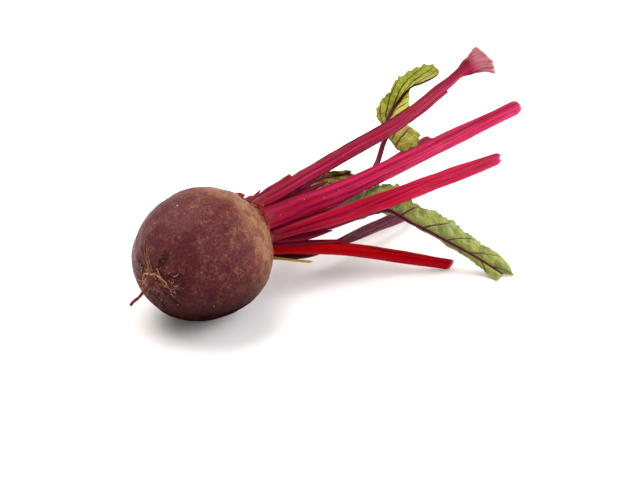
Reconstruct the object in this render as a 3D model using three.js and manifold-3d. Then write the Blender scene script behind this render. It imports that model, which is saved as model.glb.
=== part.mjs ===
// A beetroot as picked: one round root with its tail, leaf stems cut short and three young
// leaves left on. It lies on its side on a small flat spot, and three stems reach the surface.
//
// Millimetres. +X runs along the root from the tail to the stems and +Z is up. Places are
// given from the middle of the root; the whole beetroot is then shifted so that its origin
// is the bottom centre of its bounding box.

import * as THREE from 'three';
import { LoftGeometry } from 'three/addons/geometries/LoftGeometry.js';
import { mergeVertices } from 'three/addons/utils/BufferGeometryUtils.js';
import Module from 'manifold-3d';

// ---- driving dimensions ----

const ROOT_RADIUS = 35.2; // the widest part of the root
const AXIS_HEIGHT = 35.2; // the root's axis above the surface, which flattens its underside
const CLEARANCE = 0.3; // between a stem and whatever it touches
const STEM_START = 30; // stems are trimmed back to the root from here, inside the crown

const ROOT_COLUMNS = 44; // points around the root
const STEM_COLUMNS = 14; // points around a stem
const STALK_COLUMNS = 8; // points around a leaf stalk
const BLADE_COLUMNS = 7; // points across one face of a leaf blade
const STATION_SPACING = 9; // along a stem
const BLADE_STEPS = 3; // sections for each row of a blade
const SMALLEST_EDGE = 0.05; // shorter edges, left where a stalk joins its blade, are merged

// Root outline: [place along X, radius, sideways shift, upward shift].
const ROOT_OUTLINE = [
  [-59.0, 0.3, -2.9, -4.2],
  [-55.0, 0.4, -3.0, -3.2],
  [-51.0, 0.5, -3.0, -2.0],
  [-47.0, 0.6, -2.8, -0.6],
  [-44.6, 0.9, -2.5, 0.5],
  [-43.4, 2.1, -2.3, 1.0],
  [-42.2, 3.5, -2.0, 1.4],
  [-40.4, 4.6, -1.8, 1.5],
  [-39.0, 7.2, -1.5, 1.4],
  [-38.0, 11.4, -1.2, 1.2],
  [-35.8, 16.6, -0.8, 0.8],
  [-32.2, 21.6, -0.3, 0.3],
  [-27.4, 26.4, 0, 0],
  [-21.0, 30.4, 0, 0],
  [-13.6, 33.3, 0, 0],
  [-6.0, 34.8, 0, 0],
  [1.0, ROOT_RADIUS, 0, 0],
  [8.0, 34.5, 0, -0.2],
  [14.5, 32.6, 0, -0.5],
  [20.2, 29.8, 0, -0.7],
  [25.0, 26.6, 0, -0.7],
  [29.0, 23.2, 0, -0.5],
  [32.2, 19.6, 0, -0.2],
  [34.8, 16.0, 0, 0],
  [36.8, 12.0, 0, 0],
  [38.2, 7.0, 0, 0],
];

// Departures from a round section: [waves round the axis, share of the radius, phase].
const ROOT_LOBES = [[1, -0.036, -0.68], [2, 0.01, 1.03], [3, 0.014, 2.36], [5, 0.006, 2.1]];

// Stems. A route is a list of points along the middle of the stem. Sizes are
// [share of the length, width, thickness]. Outward is the side that faces away from
// the middle of the crown, at the base and at the cut end.
const STEMS = {
  flared_stem: {
    route: [[STEM_START, 0.6, 10.6], [46, -3, 13.4], [70, -7.6, 17.4], [104, -17, 25], [142, -25.2, 32],
      [176, -26.4, 39], [188, -27.4, 41.8], [196.5, -28.2, 44.5], [204.9, -30.9, 47.4],
      [212.5, -33.9, 48.8], [217.2, -36.8, 48.3]],
    sizes: [[0, 10.4, 5], [0.1, 10, 5.2], [0.25, 9, 5.4], [0.5, 8, 5], [0.65, 7, 4.8],
      [0.76, 6, 4.6], [0.88, 5.2, 4.2], [0.93, 11, 3], [0.975, 16.5, 2.4], [1, 12.5, 2.4]],
    outward: [[0, -0.1, 1], [-0.2, -0.75, 0.6]],
    colour: 0xb0285a,
  },
  long_stem: {
    route: [[STEM_START, -8.8, 7], [44, -11, 6.6], [79, -23, 9], [128, -35.6, 14], [175, -44.5, 17.8],
      [222, -54.3, 21.8]],
    sizes: [[0, 11.6, 4.6], [0.1, 12.4, 5.2], [0.25, 12, 5.8], [0.4, 10.4, 6], [0.7, 9.6, 6], [1, 8.2, 5.6]],
    outward: [[0, -0.85, 0.5], [0, -0.7, 0.7]],
    colour: 0xc8386a,
  },
  notched_stem: {
    route: [[STEM_START, -9.8, -4], [42, -14.6, -2.6], [66, -32, 2.8], [97, -49.4, 8], [130, -62, 11],
      [169, -76, 14]],
    sizes: [[0, 7, 4.4], [0.1, 7, 4.8], [0.35, 10, 5.8], [0.55, 9.8, 5.6], [0.75, 8.4, 5.4], [1, 7, 5]],
    outward: [[0, -0.9, -0.35], [0, -0.75, 0.65]],
    colour: 0xa80a34,
  },
  slim_stem: {
    route: [[STEM_START, -2.4, 4], [50, -6.2, 2.4], [82, -13, -0.4], [117, -16, -0.8], [149, -16.5, 1.5],
      [178.5, -22, 7]],
    sizes: [[0, 5.6, 4.2], [0.2, 6.2, 4.4], [1, 6.6, 4.6]],
    outward: [[0, -0.6, 0.8], [0, -0.6, 0.8]],
    colour: 0xb03058,
  },
  dark_stem: {
    route: [[STEM_START, 1, -13], [45, -8, -18], [63.5, -18, -22], [90.5, -22.5, -24.2], [120, -25, -26.2],
      [142.5, -26.5, -28.6], [156, -23.5, -32.6]],
    sizes: [[0, 7.6, 4.4], [0.3, 7, 4.8], [0.8, 6.4, 4.6], [1, 6, 4.4]],
    outward: [[0, 0.3, -1], [0, -0.75, 0.65]],
    colour: 0x5a1026,
  },
  low_stem: {
    route: [[STEM_START, -5.2, -11.2], [44, -13, -11.6], [60, -25.4, -14.2], [79, -40.6, -19],
      [98, -58, -25.4], [119.6, -78.8, -32.7]],
    sizes: [[0, 7.4, 4.2], [0.25, 7.6, 4.4], [0.7, 6.8, 4.2], [1, 6, 3.8]],
    outward: [[0, -0.9, 0.1], [-0.3, -0.75, 0.6]],
    colour: 0x92061e,
  },
  far_stem: {
    route: [[STEM_START, 9.4, -5.4], [54, 14.5, -9], [84, 24, -16], [124, 36.5, -23.6], [172, 50, -32.6]],
    sizes: [[0, 8.2, 4.4], [0.25, 8.4, 5], [0.7, 7.8, 5], [1, 7, 4.8]],
    outward: [[0, 0.85, -0.5], [0, 0.6, 0.8]],
    colour: 0xa01038,
  },
  back_stem: {
    route: [[STEM_START, 9.6, 4.4], [52, 9.4, 4.2], [88, 8.6, 3], [128, 10.4, 1.6], [168, 14.8, -1]],
    sizes: [[0, 8.6, 4.6], [0.2, 8.2, 5.2], [0.6, 7.8, 5.2], [1, 7.4, 5]],
    outward: [[0, 0.9, 0.4], [0, 0.5, 0.85]],
    colour: 0xb0204c,
  },
};

// A dried stalk, no thicker than string, that hangs out of the crown under the stems.
const WITHERED_STALK = {
  route: [[STEM_START, -11.6, -10.6], [37, -16, -13.6], [43, -22, -15.6], [49.5, -26, -18], [56.5, -28, -21]],
  sizes: [[0, 2.4, 1.8], [0.4, 1.8, 1.5], [1, 1.4, 1.3]],
  outward: [[0, -0.6, -0.8], [0, -0.7, 0.7]],
  colour: 0x8a7a2c,
};

// Leaves. The stalk runs on under the blade as its midrib. A blade is given by rows of three
// places, on the midrib, the near margin and the far margin, from its base to its tip.
const LEAVES = {
  curled_leaf: {
    stalk: [[STEM_START, 0.6, -3], [58, -8, -4.5], [84, -13, -6.5], [112, -13, -7.5], [134, -8.5, -6],
      [148, -5.5, -1.5], [156, -3.4, 6]],
    sizes: [[0, 6, 4], [0.25, 5.4, 3.6], [0.45, 4.2, 3.4], [0.7, 3, 2.6], [1, 1.4, 1.4]],
    outward: [[0, -0.5, 0.8], [0.6, 0.5, -0.6]],
    blade: [
      [[161, -2.5, 10.5], [160, -5, 9.5], [161.5, -1, 12]],
      [[164, -0.5, 12.5], [156, -14, 6], [165, 5, 14]],
      [[167, 1, 14.5], [156.5, -22.5, 7.5], [166, 8.5, 17]],
      [[170, 2.5, 17], [162.5, -25.5, 16], [168, 10.5, 21]],
      [[173, 2.5, 19.5], [167, -13.5, 18], [171, 9.5, 25]],
      [[178, 2, 23.5], [174.5, -9, 23], [175.5, 7.5, 30]],
      [[183, 1, 27.5], [181, -3.5, 28], [179, 4.5, 38]],
      [[188, 0, 31.5], [192.5, 2, 30], [181.5, -2, 43]],
      [[190, -5.5, 34.5], [199, 0, 33.5], [184, -8, 48.5]],
      [[192.5, -11, 38], [200, -6.5, 37.5], [187, -15.5, 50]],
      [[193.5, -15, 41.5], [196.5, -14, 41], [190.5, -18, 46]],
    ],
    colour: 0x9a9c2c,
  },
  drooping_leaf: {
    stalk: [[STEM_START, -3.4, -4.4], [44, -9, -6], [57, -18, -7]],
    sizes: [[0, 6.4, 4], [0.25, 5.6, 3.6], [0.45, 3.4, 3], [0.7, 2.4, 2], [1, 1.2, 1.2]],
    outward: [[0, -0.6, -0.7], [-0.2, 0.2, -1]],
    blade: [
      [[70, -29.5, -4.5], [71, -29.3, -6.4], [71.5, -27.5, -3.6]],
      [[81, -36, -2.6], [83.4, -35.5, -4.8], [91, -27, 3]],
      [[91, -42.5, 0], [93.4, -42, -2.8], [107, -29, 5]],
      [[99, -49, 0.2], [102, -48.5, -3], [115, -37, 6]],
      [[102.5, -54.5, -3], [106.5, -54, -6.4], [117, -46, 6]],
      [[104.5, -61.5, -6], [109.5, -60, -10], [114, -56.5, 1.5]],
      [[108.5, -70.5, -10], [114, -69.5, -14.5], [119.5, -70, -4]],
      [[114.5, -79, -16], [118.5, -77.5, -21], [125.5, -80, -11.5]],
      [[120, -87.5, -21.5], [122, -87, -26.5], [130.5, -90.5, -19.5]],
      [[124, -94.5, -26], [123.5, -95, -30.5], [134.5, -99, -25]],
      [[127, -100.5, -30], [123, -101, -33.5], [135.5, -105.5, -30.5]],
      [[129.5, -106, -33.8], [123, -107, -34.6], [133, -111.5, -34]],
    ],
    colour: 0x76883a,
  },
  heart_leaf: {
    stalk: [[STEM_START, 3, 5.8], [54, 2.8, 7.4], [70, 0.5, 7.4]],
    sizes: [[0, 4.4, 3.6], [0.5, 3, 2.6], [1, 1.2, 1.2]],
    outward: [[0, 0, -1], [0, 0, -1]],
    blade: [
      [[81.5, -2.5, 7], [81, -3.5, 6], [81, -1.5, 8]],
      [[89.5, -3.5, 7.5], [88.5, -7.5, 5.5], [88, -2.5, 10]],
      [[99, -5, 7], [97.5, -11, 4], [96.5, -4, 10.5]],
      [[108.5, -7, 5.5], [107, -14.5, 4], [106, -7.5, 10]],
      [[116, -9, 5], [116, -13.5, 4], [115, -11.5, 7]],
    ],
    colour: 0x6a4a1c,
  },
};
const BLADE_THICKNESS = 1.2;

// Torn remnants of old stems round the rim of the crown:
// [angle round the axis from +Y over +Z, length, width].
const STUBS = [[100, 5, 7], [122, 5.5, 6], [146, 4.5, 6.5], [176, 4, 5], [12, 5, 6], [58, 4.5, 5.5]];
const STUB_RIM_X = 32; // where the remnants leave the root
const STUB_RIM_RADIUS = 20.2;
const STUB_THICKNESS = 1.8;
const STUB_LEAN = 0.35; // outward lean for each unit along X

// ---- solids ----

const wasm = await Module();
wasm.setup();

/** A closed geometry as a solid that can be cut and joined. */
function toSolid(geometry) {
  const bare = new THREE.BufferGeometry().copy(geometry);
  bare.deleteAttribute('normal');
  bare.deleteAttribute('uv');
  const merged = mergeVertices(bare, 1e-4);
  return new wasm.Manifold(new wasm.Mesh({
    numProp: 3,
    vertProperties: merged.attributes.position.array,
    triVerts: Uint32Array.from(merged.index.array),
  }));
}

/** A solid as a geometry again. */
function toGeometry(solid) {
  const mesh = solid.getMesh();
  const geometry = new THREE.BufferGeometry();
  geometry.setAttribute('position', new THREE.BufferAttribute(mesh.vertProperties, 3));
  geometry.setIndex(new THREE.BufferAttribute(mesh.triVerts, 1));
  geometry.computeVertexNormals();
  return geometry;
}

const loft = (sections) => new LoftGeometry(sections, { closed: true, capStart: true, capEnd: true });
const vector = ([x, y, z]) => new THREE.Vector3(x, y, z);

/** The row of a table at a share of the length, eased between the rows around it. */
function tableAt(table, share) {
  const next = Math.max(1, table.findIndex((row) => row[0] >= share));
  const [before, after] = [table[next - 1], table[next]];
  const t = THREE.MathUtils.smoothstep(share, before[0], after[0]);
  return before.slice(1).map((value, i) => THREE.MathUtils.lerp(value, after[i + 1], t));
}

/** A smooth curve through a list of places. */
const curveThrough = (places) => new THREE.CatmullRomCurve3(places.map(vector), false, 'centripetal');

/** Points along a route with, at each, the axes across (u) and through (v) the section. */
function stations(route, facing, spacing) {
  const curve = curveThrough(route);
  const count = Math.max(3, Math.round(curve.getLength() / spacing));
  const [first, last] = facing.map(vector);
  return Array.from({ length: count + 1 }, (_, i) => {
    const share = i / count;
    const along = curve.getTangentAt(share);
    const v = first.clone().lerp(last, share).projectOnPlane(along).normalize();
    const u = v.clone().cross(along);
    return { share, centre: curve.getPointAt(share), u, v };
  });
}

// ---- root ----

/** Outline of the root's skin at one place along its axis, grown outwards by a margin. */
function rootRing([x, radius, sideways, upwards], margin) {
  const roundness = radius / ROOT_RADIUS;
  return Array.from({ length: ROOT_COLUMNS }, (_, i) => {
    const angle = (i / ROOT_COLUMNS) * 2 * Math.PI;
    const lobes = ROOT_LOBES
      .reduce((sum, [waves, share, phase]) => sum + share * Math.cos(waves * angle + phase), 0);
    const reach = radius * (1 + lobes * roundness) + margin;
    return new THREE.Vector3(
      x,
      sideways + reach * Math.cos(angle),
      upwards + reach * Math.sin(angle),
    );
  });
}

/** The root: a globe that runs out into its tail, with the flat spot it rests on. */
function rootSolid() {
  const globe = toSolid(loft(ROOT_OUTLINE.map((row) => rootRing(row, 0))));
  const below = new THREE.BoxGeometry(200, 200, 20);
  below.translate(0, 0, -10 - AXIS_HEIGHT);
  return globe.subtract(toSolid(below));
}

/** The space that stems keep out of: the root grown by the clearance on every side. */
function rootSpace() {
  const rows = ROOT_OUTLINE.map(([x, ...rest]) => [x + (x > 0 ? CLEARANCE : 0), ...rest]);
  return toSolid(loft(rows.map((row) => rootRing(row, CLEARANCE))));
}

// ---- stems ----

/** A stem's section: round on its outward side, with a shallow channel on its inward side. */
function stemRing({ centre, u, v }, width, thickness, columns) {
  const channel = 0.2 * thickness;
  return Array.from({ length: columns }, (_, i) => {
    const angle = (i / columns) * 2 * Math.PI;
    const inward = Math.max(0, -Math.sin(angle));
    const across = (width / 2) * Math.cos(angle);
    const through = (thickness / 2) * Math.sin(angle) + channel * inward ** 3;
    return centre.clone().addScaledVector(u, across).addScaledVector(v, through);
  });
}

/** A stem or stalk from its route and sizes. */
function stemSolid({ route, sizes, outward }, columns = STEM_COLUMNS, spacing = STATION_SPACING) {
  const rings = stations(route, outward, spacing).map((station) => {
    const [width, thickness] = tableAt(sizes, station.share);
    return stemRing(station, width, thickness, columns);
  });
  return toSolid(loft(rings));
}

/** A torn remnant: a short flat flap that thins and narrows towards its tip. */
function stubSolid([degrees, length, width]) {
  const angle = THREE.MathUtils.degToRad(degrees);
  const outward = [0, Math.cos(angle), Math.sin(angle)];
  const reach = (share) => {
    const radius = STUB_RIM_RADIUS - 2.4 + STUB_LEAN * length * share;
    const x = STUB_RIM_X - 1.5 + (length + 1.5) * share;
    return [x, radius * outward[1], radius * outward[2]];
  };
  const flap = {
    route: [0, 0.5, 1].map(reach),
    sizes: [[0, width, STUB_THICKNESS], [0.6, width * 0.8, STUB_THICKNESS * 0.8], [1, width * 0.35, 0.8]],
    outward: [outward, outward],
  };
  return stemSolid(flap, STALK_COLUMNS, length / 4);
}

// ---- leaves ----

/** One section of a blade: the upper face from side to side, then the lower face back. */
function bladeRing(middle, near, far, along) {
  const halves = [middle.clone().sub(near), far.clone().sub(middle)];
  const [nearLift, farLift] = halves.map((half) => along.clone().cross(half).normalize());
  const ridgeLift = nearLift.clone().add(farLift).normalize();
  const steps = Array.from({ length: BLADE_COLUMNS }, (_, i) => 1 - (2 * i) / (BLADE_COLUMNS - 1));
  const face = (offset) => steps.map((across) => {
    const [margin, lift] = across < 0 ? [near, nearLift] : [far, farLift];
    return middle.clone().lerp(margin, Math.abs(across))
      .addScaledVector(across === 0 ? ridgeLift : lift, offset);
  });
  return [...face(BLADE_THICKNESS / 2), ...face(-BLADE_THICKNESS / 2).reverse()];
}

/** A blade from its rows. */
function bladeSolid(rows) {
  const lines = [0, 1, 2].map((line) => curveThrough(rows.map((row) => row[line])));
  const count = (rows.length - 1) * BLADE_STEPS;
  const rings = Array.from({ length: count + 1 }, (_, i) => {
    const [middle, near, far] = lines.map((line) => line.getPoint(i / count));
    return bladeRing(middle, near, far, lines[0].getTangent(i / count));
  });
  return toSolid(loft(rings));
}

/** A leaf: its stalk, with the midrib that it runs on as, and its blade as one solid. */
function leafSolid({ stalk, blade, sizes, outward }) {
  const route = [...stalk, ...blade.map(([middle]) => middle)];
  return stemSolid({ route, sizes, outward }, STALK_COLUMNS).add(bladeSolid(blade)).simplify(SMALLEST_EDGE);
}

// ---- assembly ----

/** A named piece with its own colour. */
function piece(name, solid, colour, roughness) {
  const material = new THREE.MeshStandardMaterial({ color: colour, roughness, metalness: 0 });
  const mesh = new THREE.Mesh(toGeometry(solid), material);
  mesh.name = name;
  return mesh;
}

const space = rootSpace();

const stems = new THREE.Group();
for (const [name, stem] of Object.entries(STEMS)) {
  stems.add(piece(name, stemSolid(stem).subtract(space), stem.colour, 0.4));
}
const dried = stemSolid(WITHERED_STALK, STALK_COLUMNS, 5).subtract(space);
stems.add(piece('withered_stalk', dried, WITHERED_STALK.colour, 0.8));

const leaves = new THREE.Group();
for (const [name, leaf] of Object.entries(LEAVES)) {
  leaves.add(piece(name, leafSolid(leaf).subtract(space), leaf.colour, 0.6));
}

const crown = new THREE.Group();
STUBS.forEach((stub, i) => {
  crown.add(piece(`torn_stub_${i + 1}`, stubSolid(stub).subtract(space), 0x7a2a24, 0.8));
});

const beetroot = new THREE.Group();
beetroot.add(piece('beet_root', rootSolid(), 0x63303a, 0.7), crown, stems, leaves);

const bounds = new THREE.Box3().setFromObject(beetroot);
const middle = bounds.getCenter(new THREE.Vector3());
beetroot.position.set(-middle.x, -middle.y, -bounds.min.z);

export default beetroot;
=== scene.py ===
"""A beetroot as picked: a round root with its tail, stems cut short and three young leaves.

Shapes are given in millimetres from the middle of the root. +X runs along the root from the
tail to the stems and +Z is up. A finished piece is put in the frame, in metres, in its mesh.
"""

import logging
import math
import random
from collections.abc import Callable, Sequence
from dataclasses import dataclass, field
from enum import Enum

import bmesh
import bpy
import numpy as np
from mathutils import Matrix, Vector, noise


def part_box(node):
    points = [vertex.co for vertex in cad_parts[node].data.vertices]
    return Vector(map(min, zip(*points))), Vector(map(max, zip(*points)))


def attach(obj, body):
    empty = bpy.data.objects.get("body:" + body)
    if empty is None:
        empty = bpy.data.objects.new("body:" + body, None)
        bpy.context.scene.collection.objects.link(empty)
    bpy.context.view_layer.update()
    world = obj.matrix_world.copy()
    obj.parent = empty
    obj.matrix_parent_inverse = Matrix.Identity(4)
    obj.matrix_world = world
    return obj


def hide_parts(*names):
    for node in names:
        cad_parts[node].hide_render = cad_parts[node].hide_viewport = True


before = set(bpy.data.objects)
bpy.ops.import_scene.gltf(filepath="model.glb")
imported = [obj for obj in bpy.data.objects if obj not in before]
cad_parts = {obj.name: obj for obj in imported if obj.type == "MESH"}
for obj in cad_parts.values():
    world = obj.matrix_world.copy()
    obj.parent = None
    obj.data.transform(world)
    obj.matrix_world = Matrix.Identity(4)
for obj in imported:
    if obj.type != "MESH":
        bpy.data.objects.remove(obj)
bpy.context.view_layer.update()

LOG = logging.getLogger("beetroot")

Row = tuple[float, ...]
Table = tuple[Row, ...]
Mesh = bmesh.types.BMesh
Material = bpy.types.Material
Socket = bpy.types.NodeSocket

MM = 0.001
MERGE = 0.001  # mm, closer points become one
SHARP_CORNER = math.radians(62)
NOISE_SPAN = 1.6  # widens the noise to about -1 to 1
KNOT_STEPS = 24  # steps between two given points of a smooth curve

# ---- the root's outline, which everything else hangs on ----

ROOT_RADIUS = 35.2
AXIS_HEIGHT = 35.2
STEM_START = 30.0  # stems and stalks begin here, inside the crown
CROWN_X = 38.2

# Place along the root, radius, sideways shift, upward shift.
ROOT_OUTLINE: Table = (
    (-59.0, 0.3, -2.9, -4.2),
    (-55.0, 0.4, -3.0, -3.2),
    (-51.0, 0.5, -3.0, -2.0),
    (-47.0, 0.6, -2.8, -0.6),
    (-44.6, 0.9, -2.5, 0.5),
    (-43.4, 2.1, -2.3, 1.0),
    (-42.2, 3.5, -2.0, 1.4),
    (-40.4, 4.6, -1.8, 1.5),
    (-39.0, 7.2, -1.5, 1.4),
    (-38.0, 11.4, -1.2, 1.2),
    (-35.8, 16.6, -0.8, 0.8),
    (-32.2, 21.6, -0.3, 0.3),
    (-27.4, 26.4, 0.0, 0.0),
    (-21.0, 30.4, 0.0, 0.0),
    (-13.6, 33.3, 0.0, 0.0),
    (-6.0, 34.8, 0.0, 0.0),
    (1.0, ROOT_RADIUS, 0.0, 0.0),
    (8.0, 34.5, 0.0, -0.2),
    (14.5, 32.6, 0.0, -0.5),
    (20.2, 29.8, 0.0, -0.7),
    (25.0, 26.6, 0.0, -0.7),
    (29.0, 23.2, 0.0, -0.5),
    (32.2, 19.6, 0.0, -0.2),
    (34.8, 16.0, 0.0, 0.0),
    (36.8, 12.0, 0.0, 0.0),
    (CROWN_X, 7.0, 0.0, 0.0),
)
# Waves round the axis, share of the radius, phase.
ROOT_LOBES: Table = ((1, -0.036, -0.68), (2, 0.01, 1.03), (3, 0.014, 2.36), (5, 0.006, 2.1))


# ---- numbers and curves ----


def colour(code: str) -> tuple[float, float, float, float]:
    """Turns an sRGB hex value to the linear colour that a socket holds.

    Args:
        code: A value such as "#5b2b35".

    Returns:
        Red, green, blue and a full alpha.
    """
    channels = [int(code[i : i + 2], 16) / 255 for i in (1, 3, 5)]
    linear = [c / 12.92 if c <= 0.04045 else ((c + 0.055) / 1.055) ** 2.4 for c in channels]
    return (*linear, 1.0)


def ease(value: float, low: float, high: float) -> float:
    """Rises smoothly from 0 at low to 1 at high, which may be below low."""
    t = min(1.0, max(0.0, (value - low) / (high - low)))
    return t * t * (3 - 2 * t)


def bell(value: float, middle: float, width: float) -> float:
    """A smooth bump of height 1 round a middle, about width across."""
    return math.exp(-(((value - middle) / width) ** 2))


def rough(place: Vector, size: float, seed: float = 0.0) -> float:
    """Smooth random relief, about -1 to 1, with bumps of about a size in mm."""
    return NOISE_SPAN * noise.noise(place / size + Vector((seed, 1.7 * seed, -seed)))


def bumps(place: Vector, table: Table) -> float:
    """The sum of the relief that a table of heights, sizes and seeds gives at a place."""
    return sum(height * rough(place, size, seed) for height, size, seed in table)


def table_at(table: Table, share: float) -> Row:
    """Reads a table at a share of the length, eased between the rows around it.

    Args:
        table: Rows that start with their share of the length.
        share: Where to read, from 0 to 1.

    Returns:
        The rest of the row.
    """
    for before, after in zip(table, table[1:]):
        if share <= after[0]:
            break
    t = ease(share, before[0], after[0])
    return tuple(a + (b - a) * t for a, b in zip(before[1:], after[1:]))


def spline(points: Sequence[Row], spacing: float) -> np.ndarray:
    """Evenly spaced points on a smooth curve through the given ones.

    Args:
        points: Points of any number of coordinates; the first three give the distances.
        spacing: The distance between the points that come back, in mm.

    Returns:
        One row a point.
    """
    knots = [np.array(p, float) for p in points]
    knots = [2 * knots[0] - knots[1], *knots, 2 * knots[-1] - knots[-2]]
    fine = [knots[1]]
    for before, start, end, after in zip(knots, knots[1:], knots[2:], knots[3:]):
        pairs = ((before, start), (start, end), (end, after))
        gap = [np.linalg.norm((b - a)[:3]) ** 0.5 for a, b in pairs]
        leaving = (start - before) / gap[0] - (end - before) / (gap[0] + gap[1]) + (end - start) / gap[1]
        arriving = (end - start) / gap[1] - (after - start) / (gap[1] + gap[2]) + (after - end) / gap[2]
        for t in np.linspace(0, 1, KNOT_STEPS + 1)[1:]:
            fine.append(
                (2 * t**3 - 3 * t**2 + 1) * start
                + (t**3 - 2 * t**2 + t) * gap[1] * leaving
                + (3 * t**2 - 2 * t**3) * end
                + (t**3 - t**2) * gap[1] * arriving
            )
    path = np.array(fine)
    steps = np.linalg.norm(np.diff(path[:, :3], axis=0), axis=1)
    reach = np.concatenate([[0.0], np.cumsum(steps)])
    even = np.linspace(0, reach[-1], max(4, round(reach[-1] / spacing)) + 1)
    return np.column_stack([np.interp(even, reach, column) for column in path.T])


@dataclass(frozen=True)
class Station:
    """A place on a route, with the axes of the section there."""

    share: float
    reach: float
    centre: Vector
    along: Vector
    across: Vector
    outward: Vector

    def at(self, across: float, outward: float, along: float) -> Vector:
        """The point at these distances from the route."""
        return self.centre + self.across * across + self.outward * outward + self.along * along


def stations(route: Sequence[Row], facing: tuple[Row, Row], spacing: float) -> list[Station]:
    """Places along a route with the axes of a section at each.

    Args:
        route: Points along the middle of the piece.
        facing: The outward side at the start and at the end.
        spacing: The distance between places, in mm.

    Returns:
        The places, evenly spaced, with shares from 0 to 1.
    """
    path = spline(route, spacing)
    tangents = np.gradient(path, axis=0)
    first, last = (Vector(side) for side in facing)
    reach, made = 0.0, []
    for i, (centre, tangent) in enumerate(zip(path, tangents)):
        share = i / (len(path) - 1)
        along = Vector(tangent).normalized()
        side = first.lerp(last, share)
        outward = (side - along * side.dot(along)).normalized()
        reach += (Vector(centre) - made[-1].centre).length if made else 0.0
        made.append(Station(share, reach, Vector(centre), along, outward.cross(along), outward))
    return made


# ---- meshes ----


def layers(mesh: Mesh) -> dict[str, bmesh.types.BMLayerItem]:
    """The values that a material reads from a point of a piece.

    Args:
        mesh: The mesh under construction.

    Returns:
        "grain", the place in the straightened piece in mm; "share", how far along it is;
        "mark" and "shade", two masks whose meaning depends on the finish; and "laid", which
        is 1 once the point is in its place.
    """
    verts = mesh.verts.layers
    made = {"grain": verts.float_vector.get("grain") or verts.float_vector.new("grain")}
    for name in ("share", "mark", "shade", "laid"):
        made[name] = verts.float.get(name) or verts.float.new(name)
    return made


def straight_tube(mesh: Mesh, columns: int, rings: int, caps: Row) -> list[bmesh.types.BMVert]:
    """Adds a closed round bar along +Z, one long and one in radius, ready to be laid on a route.

    Args:
        mesh: The mesh under construction.
        columns: Points round the bar.
        rings: Points along it.
        caps: Radii of the rings drawn on its two ends.

    Returns:
        The new points.
    """
    laid = layers(mesh)["laid"]
    halfway_up = Matrix.Translation((0, 0, 0.5))
    made = bmesh.ops.create_cone(
        mesh, cap_ends=True, segments=columns, radius1=1, radius2=1, depth=1, matrix=halfway_up
    )
    edges = dict.fromkeys(e for v in made["verts"] for e in v.link_edges)
    faces = dict.fromkeys(f for v in made["verts"] for f in v.link_faces)
    rises = [e for e in edges if abs(e.verts[0].co.z - e.verts[1].co.z) > 0.5]
    ends = [f for f in faces if len({v.co.z for v in f.verts}) == 1]
    bmesh.ops.subdivide_edges(mesh, edges=rises, cuts=rings - 2, use_grid_fill=True)
    for end in ends:
        inner = 1.0
        for radius in caps:
            bmesh.ops.inset_region(mesh, faces=[end], thickness=(inner - radius), use_even_offset=True)
            inner = radius
    bmesh.ops.poke(mesh, faces=ends)
    return [v for v in mesh.verts if not v[laid]]


Section = Callable[[Station, float], tuple[float, float]]


def lay_tube(
    mesh: Mesh,
    line: Sequence[Station],
    section: Section,
    columns: int,
    end_shift: Callable[[Station, float, float], float] | None = None,
    mark: Callable[[Station, float, float], float] | None = None,
    caps: Row = (0.94, 0.6),
) -> None:
    """Adds a closed tube along a route.

    Args:
        mesh: The mesh under construction.
        line: The places along the route.
        section: Gives the distances across and outward of the skin, from a place and an angle.
        columns: Points round the tube.
        end_shift: Gives a shift along the route, from a place, an angle and a share of the radius.
        mark: Gives the mask "mark", from the same.
        caps: Shares of the radius at which the two ends have rings.
    """
    layer = layers(mesh)
    for vert in straight_tube(mesh, columns, len(line), caps):
        place = line[round(vert.co.z * (len(line) - 1))]
        angle = math.atan2(vert.co.y, vert.co.x)
        radial = min(1.0, math.hypot(vert.co.x, vert.co.y))
        across, outward = section(place, angle)
        shift = end_shift(place, angle, radial) if end_shift else 0.0
        vert[layer["share"]] = place.share
        vert[layer["grain"]] = Vector((place.reach, across * radial, outward * radial))
        vert[layer["mark"]] = mark(place, angle, radial) if mark else 0.0
        vert[layer["laid"]] = 1.0
        vert.co = place.at(across * radial, outward * radial, shift)


@dataclass
class Bench:
    """Where pieces are finished: it knows where the root's middle lies in the frame."""

    middle: Vector

    def finish(
        self, mesh: Mesh, name: str, material: Material, slot: str, nodes: Sequence[str] = ()
    ) -> None:
        """Closes, turns right side out and places a mesh, and makes it a piece of the beetroot.

        Args:
            mesh: The mesh under construction, in mm from the middle of the root. It is used up.
            name: The piece's name.
            material: What it is dressed in.
            slot: The material slot of the record that its finish comes from; not used.
            nodes: The nodes that it stands for.
        """
        into_frame = Matrix.Translation(self.middle) @ Matrix.Scale(MM, 4)
        bmesh.ops.remove_doubles(mesh, verts=mesh.verts, dist=MERGE)
        bmesh.ops.recalc_face_normals(mesh, faces=mesh.faces)
        bmesh.ops.transform(mesh, matrix=into_frame, verts=mesh.verts)
        for face in mesh.faces:
            face.smooth = True
        for edge in mesh.edges:
            edge.smooth = not edge.is_manifold or edge.calc_face_angle(0.0) < SHARP_CORNER
        data = bpy.data.meshes.new(name)
        mesh.to_mesh(data)
        mesh.free()
        data.materials.append(material)
        piece = bpy.data.objects.new(name, data)
        bpy.context.scene.collection.objects.link(piece)
        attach(piece, "root")
        if nodes:
            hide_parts(*nodes)
        triangles = sum(len(p.vertices) - 2 for p in data.polygons)
        LOG.info("%s: %d triangles, stands for %s", name, triangles, ", ".join(nodes) or "no node")


# ---- materials ----

MIX_A, MIX_B, MIX_COLOUR = 6, 7, 2  # sockets of a Mix node that mixes colours
ALIKE = (1.0, 1.0, 1.0)  # a pattern that is drawn out along no axis


@dataclass(frozen=True)
class Ramp:
    """A mask that rises from 0 where a pattern is at low to top where it is at high."""

    pattern: Socket
    low: float
    high: float
    top: float = 1.0


Mask = Ramp | Socket


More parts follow.
